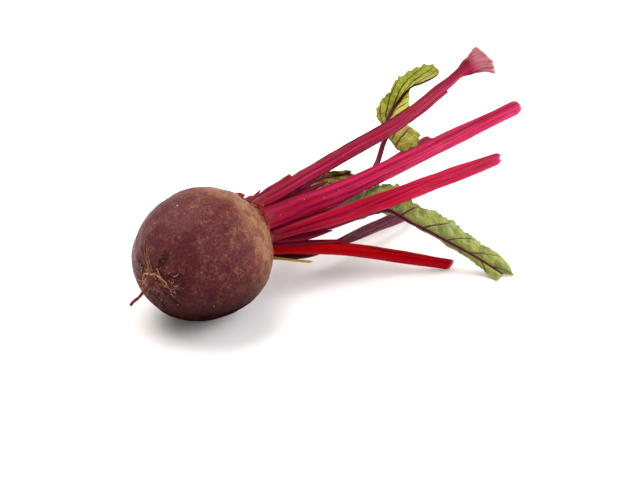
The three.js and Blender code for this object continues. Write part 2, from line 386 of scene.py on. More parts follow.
@dataclass
class Brush:
    """Paints one material: patterns with real sizes, laid over each other."""

    name: str
    values: dict[str, object]
    material: Material = field(init=False)

    def __post_init__(self) -> None:
        """Starts the material with the values that are the same all over."""
        self.material = bpy.data.materials.new(self.name)
        self.material.use_nodes = True
        for socket, value in self.values.items():
            self.shader.inputs[socket].default_value = value

    @property
    def shader(self) -> bpy.types.Node:
        """The material's shader."""
        return self.material.node_tree.nodes["Principled BSDF"]

    def add(self, kind: str, output: str | int, inputs: dict, **settings: object) -> Socket:
        """Adds a node with its settings, values and links.

        Args:
            kind: The node's type, without the words that all of them start with.
            output: The name or number of the output that is wanted.
            inputs: For a socket's name or number, its value or the output that feeds it.
            **settings: The node's own properties.

        Returns:
            The output.
        """
        tree = self.material.node_tree
        node = tree.nodes.new(f"ShaderNode{kind}")
        for name, value in settings.items():
            setattr(node, name, value)
        for socket, value in inputs.items():
            if isinstance(value, Socket):
                tree.links.new(value, node.inputs[socket])
            else:
                node.inputs[socket].default_value = value
        return node.outputs[output]

    def millimetres(self, origin: Vector) -> Socket:
        """Places in mm from an origin of the frame."""
        place = self.add("TexCoord", "Object", {})
        return self.add("Mapping", 0, {"Vector": place, "Location": -origin / MM, "Scale": (1 / MM,) * 3})

    def clouds(self, place: Socket, size: float, detail: float, stretch: Row = ALIKE) -> Socket:
        """Draws soft random patches.

        Args:
            place: The places in mm.
            size: The size of the patches in mm.
            detail: How many finer patches each holds.
            stretch: A scale for each axis; a small one draws the patches out along it.

        Returns:
            The pattern, mostly from 0.3 to 0.7.
        """
        drawn = self.add("Mapping", 0, {"Vector": place, "Scale": stretch})
        patches = {"Vector": drawn, "Scale": 1 / size, "Detail": detail, "Roughness": 0.6}
        return self.add("TexNoise", "Fac", patches)

    def dots(self, place: Socket, spacing: float, radius: float, stretch: Row = ALIKE) -> Socket:
        """Scatters dots.

        Args:
            place: The places in mm.
            spacing: About how far apart the dots are in mm.
            radius: Their radius in mm.
            stretch: A scale for each axis, as for clouds.

        Returns:
            A mask.
        """
        drawn = self.add("Mapping", 0, {"Vector": place, "Scale": stretch})
        cells = {"Vector": drawn, "Scale": 1 / spacing, "Randomness": 1.0}
        distance = self.add("TexVoronoi", "Distance", cells)
        return self.mask(Ramp(distance, radius / spacing, 0.5 * radius / spacing))

    def mask(self, *parts: Mask, operation: str = "MULTIPLY") -> Socket:
        """Makes one mask of several.

        Args:
            *parts: Ramps and masks.
            operation: The arithmetic that joins them.

        Returns:
            The mask.
        """
        total = None
        for part in parts:
            if isinstance(part, Ramp):
                span = {"From Min": part.low, "From Max": part.high, "To Max": part.top}
                part = self.add("MapRange", 0, {"Value": part.pattern, **span})
            total = part if total is None else self.add("Math", 0, {0: total, 1: part}, operation=operation)
        return total

    def lay(self, base: str, *coats: tuple[str | Mask, ...]) -> Socket:
        """Lays colours over a base colour, each through its own mask.

        Args:
            base: The hex value of the base.
            *coats: For each coat, its hex value and the parts of its mask.

        Returns:
            The colour.
        """
        paint: object = colour(base)
        for code, *parts in coats:
            coat = {0: self.mask(*parts), MIX_A: paint, MIX_B: colour(code)}
            paint = self.add("Mix", MIX_COLOUR, coat, data_type="RGBA")
        return paint

    def done(
        self, paint: Socket, roughness: Ramp, *reliefs: tuple[Socket, float], specular: Ramp | None = None
    ) -> Material:
        """Gives the shader its colour, its roughness and its fine relief.

        Args:
            paint: The colour.
            roughness: The roughness.
            *reliefs: Patterns that stand out of the surface, each with its height in mm.
            specular: How much the surface shines, where that isn't the same all over.

        Returns:
            The material.
        """
        feeds = {"Base Color": paint, "Roughness": self.mask(roughness)}
        if specular:
            feeds["Specular IOR Level"] = self.mask(specular)
        below: dict[str, object] = {}
        for height, depth in reliefs:
            bump = {"Height": height, "Distance": depth * MM, "Strength": 1.0, **below}
            below = {"Normal": self.add("Bump", 0, bump)}
        for socket, feed in (feeds | below).items():
            self.material.node_tree.links.new(feed, self.shader.inputs[socket])
        return self.material


@dataclass(frozen=True)
class RootSkin:
    """Beetroot skin, washed and dry: a thin dull bark, purple-brown with a corky tan crown."""

    purple: str = "#40131c"
    red: str = "#561e20"
    # mauve bloom at random, and a painted sheen towards the tail
    bloom_and_painted_sheen: str = "#5c2b33"
    brown: str = "#703a2f"
    ochre: str = "#814c38"
    tan: str = "#875a3e"
    grey: str = "#a88a6a"
    moss: str = "#54321e"
    fibre: str = "#5e2a26"
    # painted shade: the colour that darkens the underside
    soil_and_painted_shade: str = "#1d0707"
    # dark specks at random, and painted shade in creases and hollows
    dark_speck_and_crevice_shade: str = "#190706"
    gloss: str = "#c88690"
    speck: str = "#ecd2c6"

    def material(self, middle: Vector) -> Material:
        """Mottled skin: cloudy purple and red, ochre freckles, a tan crown, painted shade in creases and
        underneath, and a painted sheen towards the tail.

        Args:
            middle: The middle of the root in the frame.

        Returns:
            The material.
        """
        values = {"Specular IOR Level": 0.12, "Specular Tint": colour(self.gloss)}
        brush = Brush("beetroot_skin_bark", values)
        place = brush.millimetres(middle)
        cork, crease = (brush.add("Attribute", "Fac", {}, attribute_name=name) for name in ("mark", "shade"))
        reach, height = (brush.add("SeparateXYZ", axis, {"Vector": place}) for axis in "XZ")
        sizes = ((20, 2), (12, 4), (6, 5), (1.3, 4), (0.7, 3), (0.45, 2))
        broad, soft, patchy, freckles, fine, grit = (brush.clouds(place, *size) for size in sizes)
        lines = brush.clouds(place, 1.1, 3, (1, 0.25, 0.25))
        reddish = brush.mask(broad, Ramp(reach, -25, 30, 0.3), operation="ADD")
        flecks = brush.mask(Ramp(reach, -30, 24, 0.6), Ramp(soft, 0.36, 0.64, 0.4), operation="ADD")
        barky = Ramp(patchy, 0.3, 0.7, 0.7), Ramp(freckles, 0.3, 0.7, 0.9)
        russet = brush.mask(cork, *barky, operation="ADD")
        tan = brush.mask(Ramp(russet, 0.85, 2.0, 0.95))
        paint = brush.lay(
            self.purple,
            (self.red, Ramp(reddish, 0.5, 0.78)),
            (self.bloom_and_painted_sheen, Ramp(soft, 0.42, 0.66, 0.7)),
            # painted sheen: lighter mauve towards the tail
            (self.bloom_and_painted_sheen, Ramp(reach, 6, -28, 0.45)),
            (self.brown, Ramp(reach, -12, 16), Ramp(patchy, 0.3, 0.62, 0.8)),
            (self.ochre, Ramp(freckles, 0.46, 0.7, 0.5), flecks),
            (self.ochre, Ramp(fine, 0.48, 0.7, 0.7), flecks),
            (self.ochre, Ramp(grit, 0.56, 0.7, 0.4)),
            # dark specks at random
            (self.dark_speck_and_crevice_shade, Ramp(grit, 0.44, 0.32, 0.5)),
            (self.tan, tan),
            (self.grey, tan, Ramp(fine, 0.46, 0.66, 0.7)),
            (self.red, tan, Ramp(patchy, 0.54, 0.4, 0.8)),
            (self.moss, tan, Ramp(lines, 0.5, 0.36, 0.75)),
            # painted shade in the hollows of the freckled relief
            (self.dark_speck_and_crevice_shade, Ramp(freckles, 0.4, 0.28, 0.5)),
            # painted shade: darker towards the bottom, in patches
            (self.soil_and_painted_shade, Ramp(height, 6, -22, 0.95), Ramp(patchy, 0.26, 0.44)),
            (self.fibre, Ramp(reach, -43, -47, 0.85)),
            (self.speck, brush.dots(place, 9, 0.42)),
            # painted shade in the furrow and crease round the tail
            (self.dark_speck_and_crevice_shade, crease),
        )
        reliefs = ((freckles, 0.24), (fine, 0.2), (patchy, 0.4))
        shine = Ramp(height, -21, 8, 0.14)  # none underneath, where the skin faces the floor
        return brush.done(paint, Ramp(freckles, 0.2, 0.8, 0.9), *reliefs, specular=shine)


@dataclass(frozen=True)
class StemFlesh:
    """Fresh beet stalk, ribbed like celery: crimson, brighter where ribs catch the light."""

    base: str = "#6e0010"
    middle: str = "#980228"
    tip: str = "#960a32"
    rib: str = "#c41652"
    groove: str = "#560012"
    dusk: str = "#6a2a36"
    cut: str = "#bc6076"
    sheer: str = "#9c4c5e"
    sheer_from: float = 1.0
    speck: str = "#d8a08c"
    gloss: str = "#f0587e"

    def material(self, name: str) -> Material:
        """Long streaks that follow the ribs, dark at the crown and paler at the cut.

        Args:
            name: The piece that it dresses.

        Returns:
            The material.
        """
        values = {
            "Specular IOR Level": 0.3,
            "Specular Tint": colour(self.gloss),
            "Subsurface Weight": 0.1,
            "Subsurface Radius": (1.0, 0.1, 0.15),
            "Subsurface Scale": 0.002,
        }
        brush = Brush(f"beet_stalk_{name}", values)
        grain = brush.add("Attribute", "Vector", {}, attribute_name="grain")
        names = ("share", "shade", "mark")
        share, ribs, cut = (brush.add("Attribute", "Fac", {}, attribute_name=name) for name in names)
        sizes = ((2.6, 1, 0.012), (1.1, 3, 0.02), (0.4, 2, 0.03), (7, 4, 0.35))
        bands, streaks, threads, blotches = (
            brush.clouds(grain, size, detail, (drawn, 1, 1)) for size, detail, drawn in sizes
        )
        grown = brush.mask(Ramp(share, 0.0, 0.3))
        thin = Ramp(share, self.sheer_from, self.sheer_from + 0.04)
        paint = brush.lay(
            self.base,
            (self.middle, grown),
            (self.tip, Ramp(share, 0.5, 1.0)),
            (self.rib, Ramp(bands, 0.52, 0.7, 0.6), grown),
            (self.groove, Ramp(bands, 0.46, 0.34, 0.7)),
            (self.rib, Ramp(streaks, 0.54, 0.7, 0.45), grown),
            (self.groove, Ramp(streaks, 0.46, 0.34, 0.75)),
            (self.groove, Ramp(threads, 0.42, 0.3, 0.4)),
            # painted highlight on the rib crests and the lit side, painted shade in the grooves and on the
            # far side
            (self.rib, Ramp(ribs, 0.75, 1.2, 0.75), grown),
            (self.groove, Ramp(ribs, 0.36, -0.1, 0.8)),
            (self.base, Ramp(blotches, 0.55, 0.75, 0.35)),
            (self.dusk, Ramp(blotches, 0.52, 0.38, 0.7), Ramp(share, 0.3, 0.0)),
            (self.sheer, thin, Ramp(streaks, 0.3, 0.56, 0.9)),
            (self.speck, brush.dots(grain, 3.2, 0.26, (0.7, 1, 1)), Ramp(share, 0.55, 0.1)),
            (self.cut, cut),
        )
        return brush.done(paint, Ramp(blotches, 0.1, 0.9, 0.75), (streaks, 0.5), (threads, 0.22))


@dataclass(frozen=True)
class LeafBlade:
    """Young beet leaf: a thin puckered green sheet, satin, with purple-red veins."""

    green: str = "#8d9c22"
    pale: str = "#b9bf42"
    dull: str = "#757c34"
    base: str = "#7c5a24"
    base_end: float = 0.3
    margin: str = "#5d6d14"
    vein: str = "#4e0c28"
    halo: str = "#84502c"
    mesh_size: float = 2.2  # mm, between the finest veins

    def material(self, name: str, middle: Vector) -> Material:
        """Green clouds and a net of fine veins, with broad veins that the mesh marks.

        Args:
            name: The piece that it dresses.
            middle: The middle of the root in the frame.

        Returns:
            The material.
        """
        values = {
            "Specular IOR Level": 0.25,
            "Subsurface Weight": 0.25,
            "Subsurface Radius": (0.6, 1.0, 0.2),
            "Subsurface Scale": 0.0012,
        }
        brush = Brush(f"beet_leaf_{name}", values)
        place = brush.millimetres(middle)
        names = ("mark", "share", "shade")
        vein, share, rim = (brush.add("Attribute", "Fac", {}, attribute_name=name) for name in names)
        cells = {"Vector": place, "Scale": 1 / self.mesh_size, "Randomness": 1.0}
        net = brush.add("TexVoronoi", "Distance", cells, feature="DISTANCE_TO_EDGE")
        clouds, fine = brush.clouds(place, 8, 3), brush.clouds(place, 1.1, 3)
        paint = brush.lay(
            self.green,
            (self.pale, Ramp(clouds, 0.42, 0.64, 0.85)),
            (self.dull, Ramp(clouds, 0.46, 0.34, 0.7)),
            (self.dull, Ramp(net, 0.1, 0.0, 0.4)),
            (self.dull, Ramp(fine, 0.5, 0.75, 0.4)),
            (self.base, Ramp(share, self.base_end, 0.0, 0.85)),
            (self.margin, Ramp(rim, 0.93, 1.0, 0.6)),
            (self.halo, Ramp(vein, 0.05, 0.6, 0.5)),
            (self.vein, Ramp(vein, 0.35, 0.75, 0.95)),
        )
        return brush.done(paint, Ramp(clouds, 0.0, 1.0, 0.85), (net, 0.5), (fine, 0.15))


@dataclass(frozen=True)
class DryFibre:
    """Dried plant fibre, such as root hairs and torn stem bases: matt, tan to red-brown."""

    dark: str = "#2c0f0c"
    middle: str = "#5c2a1e"
    light: str = "#9a6c42"
    fresh: str = "#8e1420"
    freshness: float = 0.0

    def material(self, name: str) -> Material:
        """Lengthwise fibres with darker dirt in patches; fresh tears still show red.

        Args:
            name: The piece that it dresses.

        Returns:
            The material.
        """
        brush = Brush(f"dry_fibre_{name}", {"Specular IOR Level": 0.15})
        grain = brush.add("Attribute", "Vector", {}, attribute_name="grain")
        share, own = (brush.add("Attribute", "Fac", {}, attribute_name=name) for name in ("share", "mark"))
        fibres, patches = brush.clouds(grain, 0.5, 3, (0.15, 1, 1)), brush.clouds(grain, 2.5, 3)
        paint = brush.lay(
            self.middle,
            (self.light, Ramp(own, 0.45, 0.95)),
            (self.fresh, Ramp(own, 0.6, 0.3, self.freshness)),
            (self.light, Ramp(fibres, 0.5, 0.7, 0.4)),
            (self.dark, Ramp(fibres, 0.48, 0.34, 0.6)),
            (self.dark, Ramp(patches, 0.52, 0.68, 0.7)),
            (self.light, Ramp(share, 0.6, 1.0, 0.4)),
        )
        return brush.done(paint, Ramp(patches, 0.0, 0.5, 0.85), (fibres, 0.2))


@dataclass(frozen=True)
class StudioPaper:
    """Seamless white paper: plain, pale and matt."""

    white: str = "#f4f1f0"

    def material(self) -> Material:
        """An even white with a faint tooth."""
        brush = Brush("studio_paper", {"Specular IOR Level": 0.1})
        tooth = brush.clouds(brush.millimetres(Vector()), 1.5, 2)
        paint = brush.lay(self.white, ("#ffffff", Ramp(tooth, 0.4, 0.9, 0.1)))
        return brush.done(paint, Ramp(tooth, 0.0, 0.4, 0.9))


# ---- root ----


@dataclass
class Root:
    """The round root and its tail, with the marks of growth on its skin."""

    bench: Bench
    finish: RootSkin = RootSkin()
    columns: int = 300
    spacing: float = 0.56
    swells: Table = ((0.5, 24, 0.4), (0.16, 7, 2.0), (0.06, 2.4, 8.0))  # height, size and seed
    cork_plates: Table = ((0.16, 3.2, 4.0), (0.1, 1.5, 6.0))
    cork_edge: Table = ((5, 14, 3.0), (3, 5, 5.0))  # how its edge wanders along the root
    cork_lean: Row = (5, 2.5)  # how much nearer the crown it starts at +Y and at +Z
    cork_span: Row = (1, 17)  # where the skin starts to be corky, and where it all is
    ring_height: float = 0.12
    ring_spacing: float = 2.6
    ring_span: Row = (20, 30)  # where the rings start to show, and where they stand full
    neck_radius: float = 9.0  # of the tail where it leaves the globe
    neck_bark: Table = ((0.12, 3.0, 7.0),)
    thread_radius: float = 1.5  # of the tail further out
    thread_bark: Table = ((0.2, 1.7, 9.0),)
    bark_span: Row = (-37.5, -41)  # where the tail's bark starts, and where it stands full
    furrow_x: float = -37.2
    furrow_width: float = 2.4
    furrow_depth: float = 0.55
    crease_x: float = -39.7
    crease_width: float = 1.1
    rows: np.ndarray = field(init=False)
    slopes: np.ndarray = field(init=False)

    def __post_init__(self) -> None:
        """Draws the outline smoothly."""
        self.rows = spline(ROOT_OUTLINE, self.spacing)
        self.slopes = np.gradient(self.rows[:, 1], self.rows[:, 0])

    @staticmethod
    def reach(radius: float, angle: float) -> float:
        """The radius of the lobed section at an angle from +Y over +Z."""
        lobes = sum(share * math.cos(waves * angle + phase) for waves, share, phase in ROOT_LOBES)
        return radius * (1 + lobes * radius / ROOT_RADIUS)

    def skin(self, x: float, angle: float, lift: float) -> Vector:
        """A point over the smooth skin.

        Args:
            x: The place along the root.
            angle: The angle round it, in radians.
            lift: The height over the skin.

        Returns:
            The point.
        """
        columns = (*self.rows.T[1:], self.slopes)
        radius, side, up, slope = (float(np.interp(x, self.rows[:, 0], column)) for column in columns)
        return self.raised((x, radius, side, up), slope, angle, lift)

    def over_skin(self, route: Sequence[Row]) -> Table:
        """The points of a route given as x, degrees round the axis and height over the skin."""
        return tuple(tuple(self.skin(x, math.radians(degrees), lift)) for x, degrees, lift in route)

    def raised(self, row: Row, slope: float, angle: float, lift: float) -> Vector:
        """A point over the skin at a row of the outline.

        Args:
            row: The place along the root, the radius and the two shifts.
            slope: How fast the radius grows along the root.
            angle: The angle round it, in radians.
            lift: The height over the skin.

        Returns:
            The point.
        """
        x, radius, side, up = row
        round_axis = Vector((0, math.cos(angle), math.sin(angle)))
        normal = (round_axis - Vector((slope, 0, 0))).normalized()
        return Vector((x, side, up)) + round_axis * self.reach(radius, angle) + normal * lift

    def relief(self, x: float, angle: float, place: Vector) -> tuple[float, float, float]:
        """The marks of growth at a point of the skin.

        Args:
            x: The place along the root.
            angle: The angle round it, in radians.
            place: The point on the smooth skin.

        Returns:
            The height of the relief, how corky the skin is and how creased it is.
        """
        y, z = math.cos(angle), math.sin(angle)
        on_neck = Vector((x, self.neck_radius * y, self.neck_radius * z))
        on_thread = Vector((x, self.thread_radius * y, self.thread_radius * z))
        lean = self.cork_lean[0] * y + self.cork_lean[1] * z
        cork = ease(x - lean + bumps(place, self.cork_edge), *self.cork_span)
        lift = bumps(place, self.swells) + cork * bumps(place, self.cork_plates)
        turns = (x + rough(place, 12, 1.0)) / self.ring_spacing
        lift += self.ring_height * ease(x, *self.ring_span) * math.sin(2 * math.pi * turns)
        bark = bumps(on_thread, self.thread_bark) + bumps(on_neck, self.neck_bark)
        lift += ease(x, *self.bark_span) * bark
        streak = rough(Vector((0.25 * x, on_neck.y, on_neck.z)), 2.4, 2.5)  # drawn out along the tail
        furrow = bell(x, self.furrow_x, self.furrow_width) * ease(streak, 0.15, 0.6)
        lift -= self.furrow_depth * furrow
        crease = bell(x, self.crease_x, self.crease_width) * ease(streak, -0.6, 0.3)
        return lift, cork, min(1.0, 0.6 * furrow + 0.45 * crease)

    def build(self) -> None:
        """Lays a closed tube on the outline, raises its relief and dresses it."""
        mesh = bmesh.new()
        layer = layers(mesh)
        for vert in straight_tube(mesh, self.columns, len(self.rows), (0.8, 0.5)):
            i = round(vert.co.z * (len(self.rows) - 1))
            x, radius, side, up = self.rows[i]
            angle, radial = math.atan2(vert.co.y, vert.co.x), min(1.0, math.hypot(vert.co.x, vert.co.y))
            row = (x, radius * radial, side, up)
            smooth = self.raised(row, self.slopes[i], angle, 0.0)
            lift, cork, crease = self.relief(x, angle, smooth)
            vert.co = self.raised(row, self.slopes[i], angle, lift * radial)
            vert.co.z = max(vert.co.z, -AXIS_HEIGHT)
            vert[layer["mark"]], vert[layer["shade"]] = cork, crease
        dress = self.finish.material(self.bench.middle)
        self.bench.finish(mesh, "grown_root", dress, "root_skin", ["beet_root"])


# ---- stems ----


@dataclass(frozen=True)
class EndShape:
    """How far the points of a stem's end stand forward, as slopes and as heights in mm."""

    slope: float = 0.0  # across the stem
    far_slope: float = 0.0  # across it too, on its far half only
    lean: float = 0.0  # outward
    ragged: float = 0.0
    ragged_size: float = 1.6
    dome: float = 0.0
    notch: float = 0.0
    notch_place: float = -0.4  # across the stem
    notch_width: float = 1.3


class StemEnd(Enum):
    """How a stem ends: cut with a knife, spread into the torn start of a leaf, or torn off."""

    CUT = EndShape(slope=0.1, ragged=0.15, dome=1.3)
    SLANTED = EndShape(slope=0.5, ragged=0.2, dome=0.39)
    NOTCHED = EndShape(slope=0.3, ragged=0.3, dome=1.04, notch=1.1)
    FLARED = EndShape(slope=-0.12, far_slope=-0.75, ragged=1.3)
    TORN = EndShape(lean=-0.4, ragged=1.6)


# Ribs that a set has beyond the stem's own number, turn by the seed, height and sharpness.
RIB_SETS: Table = ((0, 1.0, 0.34, 1.5), (-4, 2.1, 0.3, 1.0), (8, -1.0, 0.1, 1.0))
RIB_SUNK = 0.36  # mm, so that the ribs don't make the stem thicker


@dataclass(frozen=True)
class Strip:
    """A narrow strip half torn from a stem, which runs along one edge of it."""

    side: float
    start: float
    end: float
    width: float
    outward: float = 0.0
    thickness: float = 1.5


@dataclass
class Stem:
    """One leaf stem: its route, its sizes and how it ends."""

    bench: Bench
    node: str
    route: Table
    sizes: Table  # share of the length, width and thickness
    outward: tuple[Row, Row]
    end: StemEnd
    finish: StemFlesh = StemFlesh()
    ribs: int = 9
    channel: float = 0.2  # depth of the channel inside, as a share of the thickness
    sway: float = 0.3  # how far the section swells and shrinks along the stem
    sway_size: float = 16.0
    wander: float = 0.35  # how far the ribs wander round the stem, in radians
    wander_size: float = 40.0
    shaped_from: float = 0.93  # the share of the length where the shape of the end begins
    painted_highlight_side: float = 2.6  # which way round the stem the painted highlight lies, in radians; the far side gets painted shade
    seed: float = 0.0
    strips: tuple[Strip, ...] = ()
    rounding: float = 0.25
    columns: int = 56
    spacing: float = 1.7

    def section(self, place: Station, angle: float) -> tuple[float, float]:
        """The skin round a place: round outward, channelled inward, and ribbed all round.

        Args:
            place: The place along the stem.
            angle: The angle round it.

        Returns:
            The distances across and outward.
        """
        width, thickness = table_at(self.sizes, place.share)
        inward = max(0.0, -math.sin(angle))
        trim = 1 - self.rounding * ease(place.share, 0.985, 1.0)
        across = trim * width / 2 * math.cos(angle)
        outward = trim * (thickness / 2 * math.sin(angle) + self.channel * thickness * inward**3)
        swell = self.sway * rough(place.centre, self.sway_size, self.seed)
        relief = self.rib(place.reach, angle) + swell * math.cos(2 * angle + self.seed)
        return across + relief * math.cos(angle), outward + relief * math.sin(angle)

    def rib(self, reach: float, angle: float) -> float:
        """The height of the lengthwise ribs, which wander a little and differ in height.

        Args:
            reach: How far along the stem the point is.
            angle: The angle round it.

        Returns:
            The height in mm, mostly over 0.
        """
        turn = angle + self.wander * rough(Vector((reach, 0, 0)), self.wander_size, self.seed)
        height = -RIB_SUNK
        for more, shift, top, sharpness in RIB_SETS:
            ridge = 0.5 + 0.5 * math.cos((self.ribs + more) * turn + shift * self.seed)
            height += top * ridge**sharpness
        return height

    def end_shift(self, place: Station, angle: float, radial: float) -> float:
        """How far a point near the end moves along the stem, to give the end its shape.

        Args:
            place: The place along the stem.
            angle: The angle round it.
            radial: The share of the radius.

        Returns:
            The shift in mm.
        """
        near = ease(place.share, self.shaped_from, 1.0)
        if not near:
            return 0.0
        shape = self.end.value
        across, outward = (value * radial for value in self.section(place, angle))
        shift = shape.slope * across + shape.far_slope * max(0.0, across) + shape.lean * outward
        shift += shape.ragged * rough(Vector((across, outward, self.seed)), shape.ragged_size, self.seed)
        shift -= shape.notch * bell(across, shape.notch_place, shape.notch_width)
        if place.share == 1.0:
            shift += shape.dome * (1 - radial**2)
        return near * shift

    def cut_face(self, place: Station, _angle: float, radial: float) -> float:
        """Marks the cut end, and a bruised line round it."""
        on_end = place.share == 1.0
        return 0.55 + 0.4 * (1 - radial) if on_end else 0.4 * ease(place.share, 0.99, 1.0)

    def add_strip(self, mesh: Mesh, line: Sequence[Station], strip: Strip) -> None:
        """Adds a half torn strip along an edge of the stem.

        Args:
            mesh: The stem's mesh.
            line: The places along the stem.
            strip: The strip.
        """
        span = [s for s in line if strip.start <= s.share <= strip.end]
        first, last = span[0].reach, span[-1].reach

        def section(place: Station, angle: float) -> tuple[float, float]:
            """A flat section beside the stem, which grows wider along the strip."""
            width, _ = table_at(self.sizes, place.share)
            size = strip.width * (0.3 + 0.7 * ease((place.reach - first) / (last - first), 0.0, 0.6))
            across = strip.side * (width / 2 + 0.15 * size) + size / 2 * math.cos(angle)
            ripple = 0.3 * rough(place.centre, 5, self.seed)
            return across, strip.outward + strip.thickness / 2 * math.sin(angle) + ripple

        def end(place: Station, angle: float, _radial: float) -> float:
            """A slanted, ragged end."""
            ragged = rough(place.centre, 1.0, self.seed)
            return ease(place.reach, last - 5, last) * (1.6 * strip.side * math.cos(angle) + ragged)

        lay_tube(mesh, span, section, 14, end)

    def build(self) -> None:
        """Lays the stem on its route, marks its ribs and dresses it."""
        mesh = bmesh.new()
        layer = layers(mesh)
        line = stations(self.route, self.outward, self.spacing)
        lay_tube(mesh, line, self.section, self.columns, self.end_shift, self.cut_face)
        for strip in self.strips:
            self.add_strip(mesh, line, strip)
        for vert in mesh.verts:
            reach, across, outward = vert[layer["grain"]]
            angle = math.atan2(outward, across)
            # painted highlight and shade: lighter on rib crests and towards one side, darker in grooves and
            # on the far side
            vert[layer["shade"]] = 0.5 + 1.6 * self.rib(reach, angle) + 0.35 * math.cos(angle - self.painted_highlight_side)
        dress = self.finish.material(self.node)
        self.bench.finish(mesh, f"grown_{self.node}", dress, "stem", [self.node])


# ---- leaves ----


BladeRow = tuple[Row, Row, Row]


@dataclass
class Leaf:
    """A leaf: a thin stalk that runs on as the midrib of a puckered blade."""

    bench: Bench
    node: str
    stalk: Table
    sizes: Table  # share of the stalk's length, width and thickness
    outward: tuple[Row, Row]
    blade: tuple[BladeRow, ...]  # places on the midrib, the near margin and the far margin
    finish: LeafBlade = LeafBlade()
    stalk_finish: StemFlesh = StemFlesh(
        base="#5c0618", middle="#6c1434", tip="#4a0e28", rib="#a04468", groove="#360618"
    )
    vein_spacing: float = 8.0
    vein_slope: float = 1.5
    vein_width: float = 0.7
    midrib: float = 0.8
    vein_bend: float = 0.03  # how much the veins turn towards the tip
    vein_taper: float = 0.65
    teeth: float = 0.08
    ruffle: float = 0.9
    ruffle_size: float = 5.0
    pucker: float = 0.5
    pucker_size: float = 3.2
    bulge: float = 0.1
    stalk_ribs: int = 6
    stalk_rib: float = 0.07  # the height of a rib as a share of the stalk
    thickness: float = 0.45
    seed: float = 0.0
    columns: int = 100
    spacing: float = 0.5

    def vein(self, along: float, off: float, side: float, half: float) -> float:
        """How much of a vein a point of the blade holds.

        Args:
            along: How far along the midrib the point is, in mm.
            off: Its distance from the midrib.
            side: -1 on the near half and 1 on the far half.
            half: The width of that half.

        Returns:
            A share, 1 in the middle of a vein.
        """
        gone = off / max(half, 1.0)
        wander = 0.5 * rough(Vector((along, off * side, 0)), 14, self.seed)
        start = along + wander - self.vein_slope * off + self.vein_bend * off * off
        phase = start / self.vein_spacing + 0.25 * side
        gap = abs(phase - round(phase)) * self.vein_spacing / math.hypot(1, self.vein_slope)
        width = self.vein_width * (1 - self.vein_taper * min(1.0, gone))
        side_vein = ease(gap, width, 0.35 * width) * ease(gone, 1.02, 0.8)
        return max(side_vein, ease(off, self.midrib, 0.6 * self.midrib))

    def blade_point(self, row: np.ndarray, along: Vector, reach: float, t: float) -> tuple[Vector, float]:
        """A point of the blade.

        Args:
            row: The midrib and both margins at this place along the leaf.
            along: The direction of the midrib there.
            reach: How far along the midrib it is.
            t: The place across, from -1 to 1.

        Returns:
            The point, and how much of a vein it holds.
        """
        middle, near, far = (Vector(row[i : i + 3]) for i in (0, 3, 6))
        side, gone = math.copysign(1.0, t), abs(t)
        arm = (near if t < 0 else far) - middle
        half, edge = arm.length, middle + arm
        teeth = self.teeth * (rough(edge, 3.0, self.seed) + 0.7 * rough(edge, 1.4, self.seed + 2))
        arm *= 1 + teeth * gone**4
        lifts = along.cross(middle - near).normalized(), along.cross(far - middle).normalized()
        own = lifts[1] if t > 0 else lifts[0]
        normal = (lifts[0] + lifts[1]).normalized().lerp(own, ease(gone, 0.0, 0.3)).normalized()
        vein = self.vein(reach, gone * half, side, half)
        swell = 0.6 + rough(middle + arm * gone, self.pucker_size, self.seed)
        pucker = self.pucker * (1 - vein) * swell
        pucker *= ease(gone * half, 0.4, 3)
        wave = self.ruffle * gone * gone * rough(edge, self.ruffle_size, self.seed + 4)
        arch = self.bulge * half * 4 * gone * (1 - gone)
        return middle + arm * gone + normal * (arch + pucker + wave), vein

    def add_blade(self, mesh: Mesh) -> None:
        """Lays a grid over the rows and gives it its thickness.

        Args:
            mesh: The mesh under construction.
        """
        layer = layers(mesh)
        rows = spline([(*middle, *near, *far) for middle, near, far in self.blade], self.spacing)
        tangents = np.gradient(rows[:, :3], axis=0)
        last = len(rows) - 1
        grid = bmesh.ops.create_grid(mesh, x_segments=last, y_segments=self.columns, size=0.5)
        for vert in grid["verts"]:
            i, t = round((vert.co.x + 0.5) * last), 2 * vert.co.y
            along = Vector(tangents[i]).normalized()
            vert.co, vein = self.blade_point(rows[i], along, i * self.spacing, t)
            vert[layer["share"]] = i / last
            vert[layer["mark"]] = vein
            vert[layer["shade"]] = abs(t)
        mesh.normal_update()
        bmesh.ops.solidify(mesh, geom=mesh.faces, thickness=self.thickness)

    def stalk_section(self, place: Station, angle: float) -> tuple[float, float]:
        """The stalk round a place, with a few soft ribs.

        Args:
            place: The place along the stalk.
            angle: The angle round it.

        Returns:
            The distances across and outward.
        """
        width, thickness = table_at(self.sizes, place.share)
        rib = 1 + self.stalk_rib * math.cos(self.stalk_ribs * angle + self.seed)
        return width / 2 * rib * math.cos(angle), thickness / 2 * rib * math.sin(angle)

    def build(self) -> None:
        """Makes the blade and its stalk."""
        blade = bmesh.new()
        self.add_blade(blade)
        dress = self.finish.material(self.node, self.bench.middle)
        self.bench.finish(blade, f"grown_{self.node}", dress, "leaf", [self.node])
        stalk = bmesh.new()
        layer = layers(stalk)
        route = [*self.stalk, *(middle for middle, _, _ in self.blade)]
        lay_tube(stalk, stations(route, self.outward, 1.2), self.stalk_section, 20)
        for vert in stalk.verts:
            vert[layer["shade"]] = 0.6  # as bright all round as low ribs
        dress = self.stalk_finish.material(f"{self.node}_stalk")
        self.bench.finish(stalk, f"grown_{self.node}_stalk", dress, "leaf")


# ---- crown and tail ----


